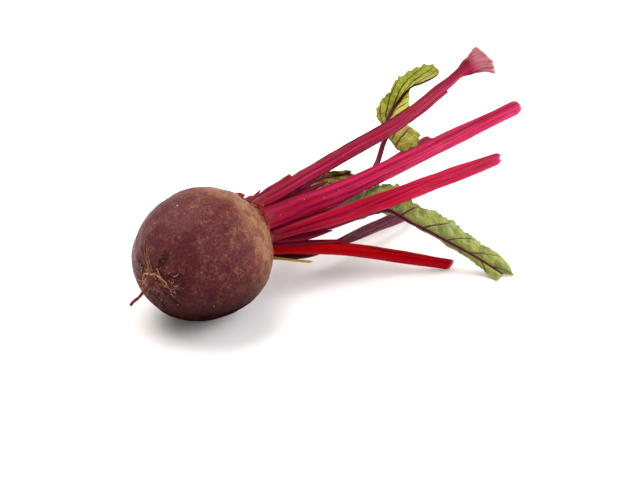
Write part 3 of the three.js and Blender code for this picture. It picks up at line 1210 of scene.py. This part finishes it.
@dataclass
class Crown:
    """What old stems left round the rim of the crown, and the young shoots inside it."""

    bench: Bench
    root: Root
    finish: DryFibre = DryFibre(
        dark="#1e0606", middle="#4a120e", light="#74402a", fresh="#7e0614", freshness=0.95
    )
    shoot_finish: StemFlesh = StemFlesh(base="#4c0210", middle="#6c0418", tip="#7c0a22", rib="#9c1636")
    # Degrees round the axis, length and width.
    stubs: Table = ((100, 5, 7), (122, 5.5, 6), (146, 4.5, 6.5), (176, 4, 5), (12, 5, 6), (58, 4.5, 5.5))
    rim_x: float = 30.5
    rim_radius: float = 17.8
    sunk: float = 1.5  # how much of a stub lies in the crown
    lean: float = 0.35
    stub_thickness: float = 1.1
    shreds: int = 190
    shred_x: Row = (22.5, 35.5, 31)  # lowest, highest and likeliest
    shred_length: Row = (1.4, 4.2)
    shred_curl: Row = (0.05, 0.35)
    shred_turn: Row = (-0.16, 0.16)  # radians
    shred_width: Row = (0.6, 2.4)
    shred_thickness: Row = (0.15, 0.4)
    # Places as x, degrees round the axis and height over the skin.
    peel: Table = ((31.5, 116, 1.6), (31.0, 124, 1.9), (30.0, 132, 1.4), (28.5, 141, 1.0), (26.5, 150, 0.5))
    # The places of each tear, its width and how dry it is.
    tears: tuple[tuple[Table, float, float], ...] = (
        (((24.5, 103, -0.2), (26.5, 101, 0.8), (28.5, 102, 1.3)), 3.6, 0.15),
        (((26.0, 94, -0.2), (28.0, 95, 1.1), (30.5, 97, 1.8)), 3.0, 0.2),
        (((26.5, 112, -0.2), (28.5, 110, 1.0), (30.5, 112, 1.2)), 3.4, 0.4),
        (((28.5, 122, -0.2), (30.5, 120, 0.9), (32.5, 121, 1.4)), 3.2, 0.1),
        (((27.5, 134, -0.2), (29.5, 133, 0.7), (31.5, 135, 1.0)), 2.8, 0.35),
        (((28.0, 150, -0.2), (30.0, 152, 0.7), (32.0, 150, 0.9)), 3.0, 0.25),
        (((27.0, 170, -0.2), (29.0, 168, 0.6), (31.5, 170, 0.8)), 2.8, 0.5),
    )
    # The start, middle and tip of each shoot, and its width.
    shoots: tuple[tuple[Row, Row, Row, float], ...] = (
        ((38, -3, 4), (56, -8, 9), (85, -17.4, 13.9), 6.4),
        ((38, -5, 5), (54, -8.5, 8.5), (68, -12.5, 11), 6.0),
        ((38, -7, -9), (58, -24, -11), (78, -38.5, -13), 4.4),
        ((38, -8, -1), (56, -17.5, 0.5), (80, -29, 2.5), 5.6),
        ((38, -8, -6), (54, -17.5, -8.5), (72, -28, -8.5), 5.0),
        ((38, -2, -6), (56, -8, -11.5), (76, -17, -14.5), 5.4),
        ((36, 3, 7), (46, 2, 9.5), (58, -1, 11.5), 4.4),
        ((38, -8, -6), (56, -22.5, -7.5), (70, -32.5, -5.5), 5.0),
        ((38, 6, -8), (56, 12, -15), (70, 17, -20), 5.0),
        ((38, 10, 0), (58, 17, 0), (74, 22, 1), 4.6),
    )

    def add_flap(
        self, mesh: Mesh, route: Sequence[Row], width: float, thickness: float, own: float, seed: float
    ) -> None:
        """Adds one flat flap of torn tissue that thins to a ragged tip.

        Args:
            mesh: The mesh under construction.
            route: Points along the flap.
            width: Its width at the base.
            thickness: Its thickness at the base.
            own: How dry it is, from 0 to 1.
            seed: Tells it from the others.
        """
        outward = tuple(Vector((0, route[0][1], route[0][2])).normalized())

        def section(place: Station, angle: float) -> tuple[float, float]:
            """Flat, fluted and narrower towards the tip."""
            fade = 1 - 0.75 * place.share**1.5
            flute = 0.066 * width * rough(Vector((place.reach, 3 * math.cos(angle), seed)), 2.2, seed)
            fold = 0.5 * thickness * math.sin(5 * math.cos(angle) + seed)
            return width / 2 * math.cos(angle) * fade + flute, (thickness / 2 * math.sin(angle) + fold) * fade

        def tip(place: Station, angle: float, _radial: float) -> float:
            """A ragged tip."""
            ragged = rough(Vector((2.5 * math.cos(angle), seed, 0)), 0.9, seed)
            return ease(place.share, 0.45, 1.0) * 0.28 * width * ragged

        lay_tube(mesh, stations(route, (outward, outward), 0.5), section, 16, tip, lambda *_: own)

    def add_shreds(self, mesh: Mesh) -> None:
        """Adds small scales that lie on the shoulder and lift a little at their tips.

        Args:
            mesh: The mesh under construction.
        """
        chance = random.Random(5)
        for i in range(self.shreds):
            angle, x = chance.uniform(0, 2 * math.pi), chance.triangular(*self.shred_x)
            length, curl = chance.uniform(*self.shred_length), chance.uniform(*self.shred_curl)
            turn = chance.uniform(*self.shred_turn)
            route = []
            for share in (0.0, 0.5, 1.0):
                lift = -0.25 + length * curl * share**1.3
                point = self.root.skin(min(37.0, x + length * share), angle + turn * share, lift)
                route.append(tuple(point))
            dry = max(chance.random(), ease(x, 31, 27))  # only those near the rim are fresh
            width, thickness = chance.uniform(*self.shred_width), chance.uniform(*self.shred_thickness)
            self.add_flap(mesh, route, width, thickness, dry, i * 1.3)

    def add_shoots(self, mesh: Mesh) -> None:
        """Adds the unopened shoots that fill the middle of the crown, between the stems.

        Args:
            mesh: The mesh under construction.
        """
        for *route, width in self.shoots:

            def section(place: Station, angle: float, width: float = width) -> tuple[float, float]:
                """Round, fluted, and drawn out to a point."""
                size = width / 2 * (1 - 0.85 * place.share**3) * (1 + 0.09 * math.cos(5 * angle))
                return size * math.cos(angle), 0.75 * size * math.sin(angle)

            lay_tube(mesh, stations(route, ((0, 0, 1), (0, 0, 1)), 1.2), section, 20)

    def build(self) -> None:
        """Makes the six torn remnants, the smaller shreds between them and the shoots."""
        dress = self.finish.material("torn_stem")
        for i, (degrees, length, width) in enumerate(self.stubs):
            stub = bmesh.new()
            angle = math.radians(degrees)
            route = []
            for share in (0.0, 0.35, 0.7, 1.0):
                x = self.rim_x + (length + self.sunk) * share
                radius = self.rim_radius + self.lean * length * share
                route.append((x, radius * math.cos(angle), radius * math.sin(angle)))
            self.add_flap(stub, route, width, self.stub_thickness, 0.1 + 0.07 * i, 3.1 * i + 0.7)
            self.bench.finish(stub, f"grown_torn_stub_{i + 1}", dress, "torn_remnant", [f"torn_stub_{i + 1}"])
        rim = bmesh.new()
        self.add_shreds(rim)
        self.add_flap(rim, self.root.over_skin(self.peel), 2.6, 0.7, 0.1, 4.0)
        for i, (route, width, own) in enumerate(self.tears):
            self.add_flap(rim, self.root.over_skin(route), width, 0.6, own, 6.0 + i)
        self.bench.finish(rim, "crown_shreds", dress, "torn_remnant")
        heart = bmesh.new()
        self.add_shoots(heart)
        self.bench.finish(heart, "crown_shoots", self.shoot_finish.material("crown_shoots"), "stem")


@dataclass(frozen=True)
class Tuft:
    """A patch of root hairs, and how they grow in it."""

    x: float
    degrees: float  # round the axis, from +Y over +Z
    spread: float  # how far round the axis it reaches, in degrees
    count: int
    length: float
    sideways: float = 0.0  # which way its hairs lean round the axis
    lift: float = 0.3


@dataclass
class Tail:
    """Fine root hairs and crumbs of dry soil round the tail."""

    bench: Bench
    root: Root
    finish: DryFibre = DryFibre(dark="#371712", middle="#8a5440", light="#bd8c6c")
    tufts: tuple[Tuft, ...] = (
        Tuft(-38.9, -34, 28, 58, 4.6, -0.35, 0.42),
        Tuft(-38.0, 58, 12, 5, 11.0, -0.5, 0.08),
        Tuft(-39.8, 40, 24, 16, 3.2, -0.5, 0.25),
        Tuft(-40.4, 110, 20, 7, 6.0, 1.4, 0.45),
        Tuft(-39.8, 178, 22, 60, 2.6, 0.5, 0.4),
        Tuft(-38.2, 190, 10, 10, 3.2, 0.3),
        Tuft(-39.4, 235, 40, 14, 4.0, 0.3, 0.2),
        Tuft(-39.2, 0, 180, 44, 2.4),
        Tuft(-46.0, 0, 180, 10, 3.0, 0.0, 0.5),
    )
    # Places as x, degrees round the axis and height over the skin, then the width and how dry.
    strands: tuple[tuple[Table, float, float], ...] = (
        (
            ((-42.0, 80, 0.2), (-41.0, 120, 1.3), (-39.6, 150, 1.5), (-38.6, 178, 1.0), (-39.4, 200, 0.4)),
            1.15,
            0.8,
        ),
        (
            ((-41.6, 60, 0.1), (-39.9, 20, 1.0), (-39.0, -14, 1.2), (-38.8, -44, 0.9), (-39.6, -62, 0.3)),
            1.0,
            0.9,
        ),
        (((-40.8, -10, 0.1), (-39.2, -24, 1.1), (-38.0, -40, 0.8), (-37.0, -58, 0.2)), 0.85, 0.7),
        (
            ((-41.0, 70, 0.0), (-39.0, 62, 0.35), (-36.6, 58, 0.3), (-34.0, 60, 0.2), (-30.5, 54, 0.0)),
            0.8,
            0.1,
        ),
        (((-40.2, 84, 0.0), (-38.4, 72, 0.4), (-36.0, 66, 0.35), (-33.4, 70, 0.0)), 0.7, 0.2),
        (((-40.6, 150, 0.2), (-39.4, 172, 0.9), (-38.2, 196, 0.6), (-37.4, 214, 0.1)), 0.9, 0.5),
    )
    hair_width: Row = (0.35, 0.85)
    radius: float = 14.0  # of the root where the hairs grow, in mm
    floor_gap: float = 0.5  # a hair stays this high over what the root lies on
    crumbs: int = 150
    crumb_x: Row = (-42, -34, -39.5)  # lowest, highest and likeliest
    crumb_size: Row = (0.12, 0.62, 0.18)

    def add_hair(self, mesh: Mesh, route: Sequence[Row], width: float, own: float) -> None:
        """Adds one hair that thins to its tip.

        Args:
            mesh: The mesh under construction.
            route: Points along the hair.
            width: Its width at the root.
            own: How dry it is, from 0 to 1.
        """

        def section(place: Station, angle: float) -> tuple[float, float]:
            """Round and slightly knotted."""
            size = width / 2 * (1 - 0.7 * place.share) * (1 + 0.3 * rough(place.centre, 1.2, own))
            return size * math.cos(angle), size * math.sin(angle)

        facing = ((0.1, 0.2, 1.0), (0.1, 0.2, 1.0))
        lay_tube(mesh, stations(route, facing, 0.6), section, 6, None, lambda *_: own, (0.5,))

    def grow(self, mesh: Mesh, tuft: Tuft, chance: random.Random) -> None:
        """Grows the hairs of one tuft.

        Args:
            mesh: The mesh under construction.
            tuft: The tuft.
            chance: Where the differences between hairs come from.
        """
        for _ in range(tuft.count):
            x = tuft.x + chance.gauss(0, 0.8)
            angle = math.radians(tuft.degrees + chance.uniform(-tuft.spread, tuft.spread))
            length = tuft.length * chance.uniform(0.5, 1.3)
            turn, curl = tuft.sideways + chance.gauss(0, 0.45), chance.gauss(0, 0.5)
            drift, rise = chance.uniform(-0.5, 0.5), tuft.lift * chance.uniform(0.3, 1.6)
            route = []
            for share in (0.0, 0.3, 0.6, 1.0):
                around = length * share * (turn + curl * share) / self.radius
                lift = -0.3 + length * rise * share * (1.3 - 0.7 * share)
                point = self.root.skin(x + drift * length * share, angle + around, lift)
                point.z = max(point.z - 0.08 * length * share * share, self.floor_gap - AXIS_HEIGHT)
                route.append(tuple(point))
            self.add_hair(mesh, route, chance.uniform(*self.hair_width), chance.random())

    def add_crumb(self, mesh: Mesh, chance: random.Random) -> None:
        """Adds one crumb of soil to the skin."""
        place = self.root.skin(chance.triangular(*self.crumb_x), chance.uniform(0, 2 * math.pi), 0.0)
        size = chance.triangular(*self.crumb_size)
        shape = Matrix.Translation(place) @ Matrix.Diagonal((size, size * chance.uniform(0.6, 1), size, 1))
        bmesh.ops.create_icosphere(mesh, subdivisions=2, radius=1.0, matrix=shape)

    def build(self) -> None:
        """Grows the hairs out of the skin and scatters the crumbs among them."""
        chance = random.Random(11)
        dress = self.finish.material("root_hair")
        hairs = bmesh.new()
        for tuft in self.tufts:
            self.grow(hairs, tuft, chance)
        for route, width, own in self.strands:
            self.add_hair(hairs, self.root.over_skin(route), width, own)
        self.bench.finish(hairs, "root_hairs", dress, "root_skin")
        soil_and_painted_shade = bmesh.new()
        layers(soil_and_painted_shade)
        for _ in range(self.crumbs):
            self.add_crumb(soil_and_painted_shade, chance)
        self.bench.finish(soil_and_painted_shade, "soil_crumbs", dress, "root_skin")


# ---- studio ----


@dataclass(frozen=True)
class SoftLight:
    """A square soft light, with its place along the camera's right, level ahead and up."""

    name: str
    place: Row  # metres from the middle of the root
    size: float
    power: float
    tint: str


@dataclass
class Studio:
    """The camera, the paper floor and the soft lights."""

    middle: Vector
    heading: float = 38.0  # degrees from +X, the way the camera looks
    fall: float = 28.0  # degrees below level
    distance: float = 0.94
    lens: float = 100.0
    sensor: float = 36.0
    frame_width: int = 640
    frame_height: int = 480
    root_column: float = 203.0  # where the middle of the root comes in the frame
    root_line: float = 252.0
    floor_size: float = 8.0
    walls: float = 0.5  # how bright the white surroundings are
    lights: tuple[SoftLight, ...] = (
        SoftLight("key_light", (-0.45, 0.45, 1.2), 1.2, 25.0, "#fffaf5"),
        SoftLight("fill_light", (1.2, 0.0, 0.75), 1.2, 17.0, "#f7faff"),
        SoftLight("rim_light", (1.1, 0.35, 0.35), 0.6, 6.0, "#fffaf5"),
    )

    def level_axes(self) -> Matrix:
        """The camera's right, level ahead and up as the columns of a matrix."""
        return Matrix.Rotation(math.radians(self.heading) - math.pi / 2, 3, "Z")

    def view_axes(self) -> Matrix:
        """Works out which way the camera looks.

        Returns:
            The camera's right, up and back axes as the columns of a matrix.
        """
        fall = math.radians(self.fall)
        ahead = self.level_axes() @ Vector((0, math.cos(fall), -math.sin(fall)))
        right = ahead.cross(Vector((0, 0, 1))).normalized()
        return Matrix((right, right.cross(ahead), -ahead)).transposed()

    def add_camera(self) -> None:
        """Puts the camera where the middle of the root comes at its place in the frame."""
        axes = self.view_axes()
        pixels = self.lens / self.sensor * self.frame_width
        right = (self.root_column - self.frame_width / 2) * self.distance / pixels
        up = (self.frame_height / 2 - self.root_line) * self.distance / pixels
        data = bpy.data.cameras.new("camera")
        data.lens, data.sensor_width, data.sensor_fit = self.lens, self.sensor, "HORIZONTAL"
        camera = bpy.data.objects.new("camera", data)
        offset = axes @ Vector((right, up, -self.distance))
        camera.matrix_world = Matrix.Translation(self.middle - offset) @ axes.to_4x4()
        bpy.context.scene.collection.objects.link(camera)
        bpy.context.scene.camera = camera

    def add_light(self, soft: SoftLight) -> None:
        """Adds a soft light aimed at the root.

        Args:
            soft: The light.
        """
        data = bpy.data.lights.new(soft.name, "AREA")
        data.size, data.energy, data.color = soft.size, soft.power, colour(soft.tint)[:3]
        light = bpy.data.objects.new(soft.name, data)
        offset = self.level_axes() @ Vector(soft.place)
        light.location = self.middle + offset
        light.rotation_euler = offset.to_track_quat("Z", "Y").to_euler()
        bpy.context.scene.collection.objects.link(light)

    def build(self) -> None:
        """Sets up the camera, floor, lights and surroundings."""
        self.add_camera()
        mesh = bmesh.new()
        bmesh.ops.create_grid(mesh, x_segments=2, y_segments=2, size=self.floor_size / 2)
        data = bpy.data.meshes.new("paper_floor")
        mesh.to_mesh(data)
        mesh.free()
        data.materials.append(StudioPaper().material())
        floor = bpy.data.objects.new("paper_floor", data)
        bpy.context.scene.collection.objects.link(floor)
        for soft in self.lights:
            self.add_light(soft)
        world = bpy.data.worlds.new("studio_white")
        world.use_nodes = True
        walls = world.node_tree.nodes["Background"].inputs
        walls["Color"].default_value, walls["Strength"].default_value = colour("#ffffff"), self.walls
        bpy.context.scene.world = world
        bpy.context.scene.view_settings.view_transform = "Standard"


# ---- the beetroot ----


DARK_STALK = StemFlesh(base="#3a0a1a", middle="#4a0c28", tip="#430b26", rib="#7c2a48", groove="#2a0612")


def stems(bench: Bench) -> list[Stem]:
    """The eight stems and the withered stalk under them.

    Args:
        bench: Where they are finished.

    Returns:
        The stems, not yet built.
    """
    return [
        Stem(
            bench, "flared_stem",
            (
                (STEM_START, 0.6, 9.4), (46, -3, 12.2), (70, -7.6, 16.7), (104, -17, 24.8), (142, -25.2, 32),
                (176, -26.4, 39), (188, -27.4, 41.8), (196.5, -28.2, 44.5), (204.9, -30.9, 47.4),
                (212.5, -33.9, 48.8), (217.2, -36.8, 48.3),
            ),
            (
                (0, 8, 5), (0.05, 8.2, 5.2), (0.13, 9, 5.3), (0.25, 8.8, 5.4), (0.5, 8, 5), (0.65, 7, 4.8),
                (0.76, 6, 4.6), (0.88, 5.2, 4.2), (0.925, 10.4, 2.4), (0.955, 14, 1.4), (0.98, 15.8, 0.9),
                (1, 17, 0.7),
            ),
            ((0, -0.1, 1), (-0.2, -0.75, 0.6)),
            StemEnd.FLARED,
            StemFlesh(
                middle="#780424", tip="#7e122e", rib="#9e1843", groove="#500016",
                cut="#b08a62", sheer="#9f6570", sheer_from=0.92,
            ),
            seed=0.6,
            strips=(
                Strip(-1, 0.62, 0.81, 2.4), Strip(1, 0.04, 0.215, 3.0, 0.9), Strip(1, 0.1, 0.66, 1.1, 0.2),
            ),
            rounding=0.0,
        ),
        Stem(
            bench, "long_stem",
            (
                (STEM_START, -8.8, 7), (44, -11, 6.6), (79, -23, 9), (128, -35.6, 14), (175, -44.5, 17.8),
                (222, -54.3, 21.8),
            ),
            ((0, 11.6, 4.6), (0.1, 12.4, 5.2), (0.25, 12, 5.8), (0.4, 10.4, 6), (0.7, 9.6, 6), (1, 8.2, 5.6)),
            ((0, -0.85, 0.5), (0, -0.7, 0.7)),
            StemEnd.CUT,
            StemFlesh(base="#7c0018", middle="#96062f", tip="#941036", rib="#c81a5c"),
            seed=1.9,
        ),
        Stem(
            bench, "notched_stem",
            (
                (STEM_START, -9.8, -4), (42, -14.6, -2.6), (66, -32, 2.8), (97, -49.4, 8), (130, -62, 11),
                (169, -76, 14),
            ),
            ((0, 7, 4.4), (0.1, 7, 4.8), (0.35, 10, 5.8), (0.55, 9.8, 5.6), (0.75, 8.4, 5.4), (1, 7, 5)),
            ((0, -0.9, -0.35), (0, -0.75, 0.65)),
            StemEnd.NOTCHED,
            StemFlesh(base="#520206", middle="#a60026", tip="#a82244", rib="#b8123e", gloss="#f04868"),
            seed=3.2,
        ),
        Stem(
            bench, "slim_stem",
            (
                (STEM_START, -2.4, 4), (50, -6.2, 2.4), (82, -13, -0.4), (117, -16, -0.8), (149, -16.5, 1.5),
                (178.5, -22, 7),
            ),
            ((0, 5.6, 4.2), (0.2, 6.2, 4.4), (1, 6.6, 4.6)),
            ((0, -0.6, 0.8), (0, -0.6, 0.8)),
            StemEnd.TORN,
            StemFlesh(tip="#962c48"),
            seed=4.4,
        ),
        Stem(
            bench, "dark_stem",
            (
                (STEM_START, 1, -13), (45, -8, -18), (63.5, -18, -22), (90.5, -22.5, -24.2),
                (120, -25, -26.2), (142.5, -26.5, -28.6), (156, -23.5, -32.6),
            ),
            ((0, 7.6, 4.4), (0.3, 7, 4.8), (0.8, 6.4, 4.6), (1, 6, 4.4)),
            ((0, 0.3, -1), (0, -0.75, 0.65)),
            StemEnd.SLANTED,
            StemFlesh(
                base="#26020a", middle="#38050f", tip="#3c0a1a",
                rib="#72203c", groove="#1e0208", gloss="#b04060",
            ),
            seed=5.7,
        ),
        Stem(
            bench, "low_stem",
            (
                (STEM_START, -5.2, -11.2), (44, -13, -11.6), (60, -25.4, -14.2), (79, -40.6, -19),
                (98, -58, -25.4), (119.6, -78.8, -32.7),
            ),
            ((0, 7.4, 4.2), (0.25, 7.6, 4.4), (0.7, 6.8, 4.2), (1, 6, 3.8)),
            ((0, -0.9, 0.1), (-0.3, -0.75, 0.6)),
            StemEnd.SLANTED,
            StemFlesh(
                base="#90000a", middle="#a80004", tip="#a00010",
                rib="#9e0210", groove="#5a0004", gloss="#e01414",
            ),
            seed=6.8,
        ),
        Stem(
            bench, "far_stem",
            ((STEM_START, 9.4, -5.4), (54, 14.5, -9), (84, 24, -16), (124, 36.5, -23.6), (172, 50, -32.6)),
            ((0, 8.2, 4.4), (0.25, 8.4, 5), (0.7, 7.8, 5), (1, 7, 4.8)),
            ((0, 0.85, -0.5), (0, 0.6, 0.8)),
            StemEnd.CUT,
            seed=8.1,
        ),
        Stem(
            bench, "back_stem",
            ((STEM_START, 9.6, 4.4), (52, 9.4, 4.2), (88, 8.6, 3), (128, 10.4, 1.6), (168, 14.8, -1)),
            ((0, 8.6, 4.6), (0.2, 8.2, 5.2), (0.6, 7.8, 5.2), (1, 7.4, 5)),
            ((0, 0.9, 0.4), (0, 0.5, 0.85)),
            StemEnd.CUT,
            seed=9.3,
        ),
        Stem(
            bench, "withered_stalk",
            (
                (STEM_START, -11.6, -10.6), (37, -16, -13.6), (43, -22, -15.6), (49.5, -26, -18),
                (56.5, -28, -21),
            ),
            ((0, 2.2, 1.8), (0.4, 1.4, 1.3), (1, 1, 1)),
            ((0, -0.6, -0.8), (0, -0.7, 0.7)),
            StemEnd.TORN,
            StemFlesh(
                base="#5c4c1c", middle="#857326", tip="#8f7f30",
                rib="#b0a04c", groove="#4c3c16", cut="#a08e44",
            ),
            ribs=5,
            columns=20,
            seed=2.2,
        ),
    ]


def leaves(bench: Bench) -> list[Leaf]:
    """The three young leaves.

    Args:
        bench: Where they are finished.

    Returns:
        The leaves, not yet built.
    """
    return [
        Leaf(
            bench, "curled_leaf",
            (
                (STEM_START, 0.6, -3), (58, -8, -4.5), (84, -13, -6.5), (112, -13, -7.5), (134, -8.5, -6),
                (148, -5.5, -1.5), (156, -3.4, 6),
            ),
            ((0, 6, 4), (0.25, 5.4, 3.6), (0.45, 4.2, 3.4), (0.7, 3, 2.6), (1, 1.4, 1.4)),
            ((0, -0.5, 0.8), (0.6, 0.5, -0.6)),
            (
                ((161, -2.5, 10.5), (160, -5, 9.5), (161.5, -1, 12)),
                ((164, -0.5, 12.5), (156, -14, 6), (165, 5, 14)),
                ((167, 1, 14.5), (156.5, -22.5, 7.5), (166, 8.5, 17)),
                ((170, 2.5, 17), (162.5, -25.5, 16), (168, 10.5, 21)),
                ((173, 2.5, 19.5), (167, -13.5, 18), (171, 9.5, 25)),
                ((178, 2, 23.5), (174.5, -9, 23), (175.5, 7.5, 30)),
                ((183, 1, 27.5), (181, -3.5, 28), (179, 4.5, 38)),
                ((188, 0, 31.5), (192.5, 2, 30), (181.5, -2, 43)),
                ((190, -5.5, 34.5), (199, 0, 33.5), (184, -8, 48.5)),
                ((192.5, -11, 38), (200, -6.5, 37.5), (187, -15.5, 50)),
                ((193.5, -15, 41.5), (196.5, -14, 41), (190.5, -18, 46)),
            ),
            LeafBlade(green="#b2bc30", pale="#ccd456", dull="#868e2c", base="#7e5e20", base_end=0.5),
            vein_spacing=9.0,
            vein_slope=2.4,
            midrib=1.5,
            seed=1.0,
        ),
        Leaf(
            bench, "drooping_leaf",
            ((STEM_START, -3.4, -4.4), (44, -9, -6), (57, -18, -7)),
            ((0, 6.4, 4), (0.25, 5.6, 3.6), (0.45, 3.0, 2.6), (0.7, 1.8, 1.6), (1, 1.0, 1.0)),
            ((0, -0.6, -0.7), (-0.2, 0.2, -1)),
            (
                ((70, -29.5, -4.5), (71, -29.3, -6.4), (71.5, -27.5, -3.6)),
                ((81, -36, -2.6), (83.4, -35.5, -4.8), (91, -27, 3)),
                ((91, -42.5, 0), (93.4, -42, -2.8), (107, -29, 5)),
                ((99, -49, 0.2), (102, -48.5, -3), (115, -37, 6)),
                ((102.5, -54.5, -3), (106.5, -54, -6.4), (117, -46, 6)),
                ((104.5, -61.5, -6), (109.5, -60, -10), (114, -56.5, 1.5)),
                ((108.5, -70.5, -10), (114, -69.5, -14.5), (119.5, -70, -4)),
                ((114.5, -79, -16), (118.5, -77.5, -21), (125.5, -80, -11.5)),
                ((120, -87.5, -21.5), (122, -87, -26.5), (130.5, -90.5, -19.5)),
                ((124, -94.5, -26), (123.5, -95, -30.5), (134.5, -99, -25)),
                ((127, -100.5, -30), (123, -101, -33.5), (135.5, -105.5, -30.5)),
                ((129.5, -106, -33.8), (123, -107, -34.6), (133, -111.5, -34)),
            ),
            LeafBlade(
                green="#737b36", pale="#949742", dull="#606c34",
                base="#323a2a", base_end=0.46, margin="#7c8424",
            ),
            DARK_STALK,
            vein_spacing=15.0,
            vein_slope=1.3,
            seed=2.0,
        ),
        Leaf(
            bench, "heart_leaf",
            ((STEM_START, 3, 5.8), (54, 2.8, 7.4), (70, 0.5, 7.4)),
            ((0, 4.4, 3.6), (0.5, 3, 2.6), (1, 1.2, 1.2)),
            ((0, 0, -1), (0, 0, -1)),
            (
                ((81.5, -2.5, 7), (81, -3.5, 6), (81, -1.5, 8)),
                ((89.5, -3.5, 7.5), (88.5, -7.5, 5.5), (88, -2.5, 10)),
                ((99, -5, 7), (97.5, -11, 4), (96.5, -4, 10.5)),
                ((108.5, -7, 5.5), (107, -14.5, 4), (106, -7.5, 10)),
                ((116, -9, 5), (116, -13.5, 4), (115, -11.5, 7)),
            ),
            LeafBlade(green="#66421a", pale="#8c7424", dull="#43240e", base="#7c7a20", margin="#93922c"),
            seed=3.0,
        ),
    ]


def main() -> None:
    """Builds the beetroot and its studio."""
    logging.basicConfig(level=logging.INFO, format="%(message)s")
    low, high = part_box("beet_root")
    side = (low.y + high.y) / 2 - MM * (Root.reach(ROOT_RADIUS, 0) - Root.reach(ROOT_RADIUS, math.pi)) / 2
    middle = Vector((high.x - CROWN_X * MM, side, low.z + AXIS_HEIGHT * MM))
    bench = Bench(middle)
    root = Root(bench)
    for part in (root, *stems(bench), *leaves(bench), Crown(bench, root), Tail(bench, root), Studio(middle)):
        part.build()


if __name__ == "__main__":
    main()
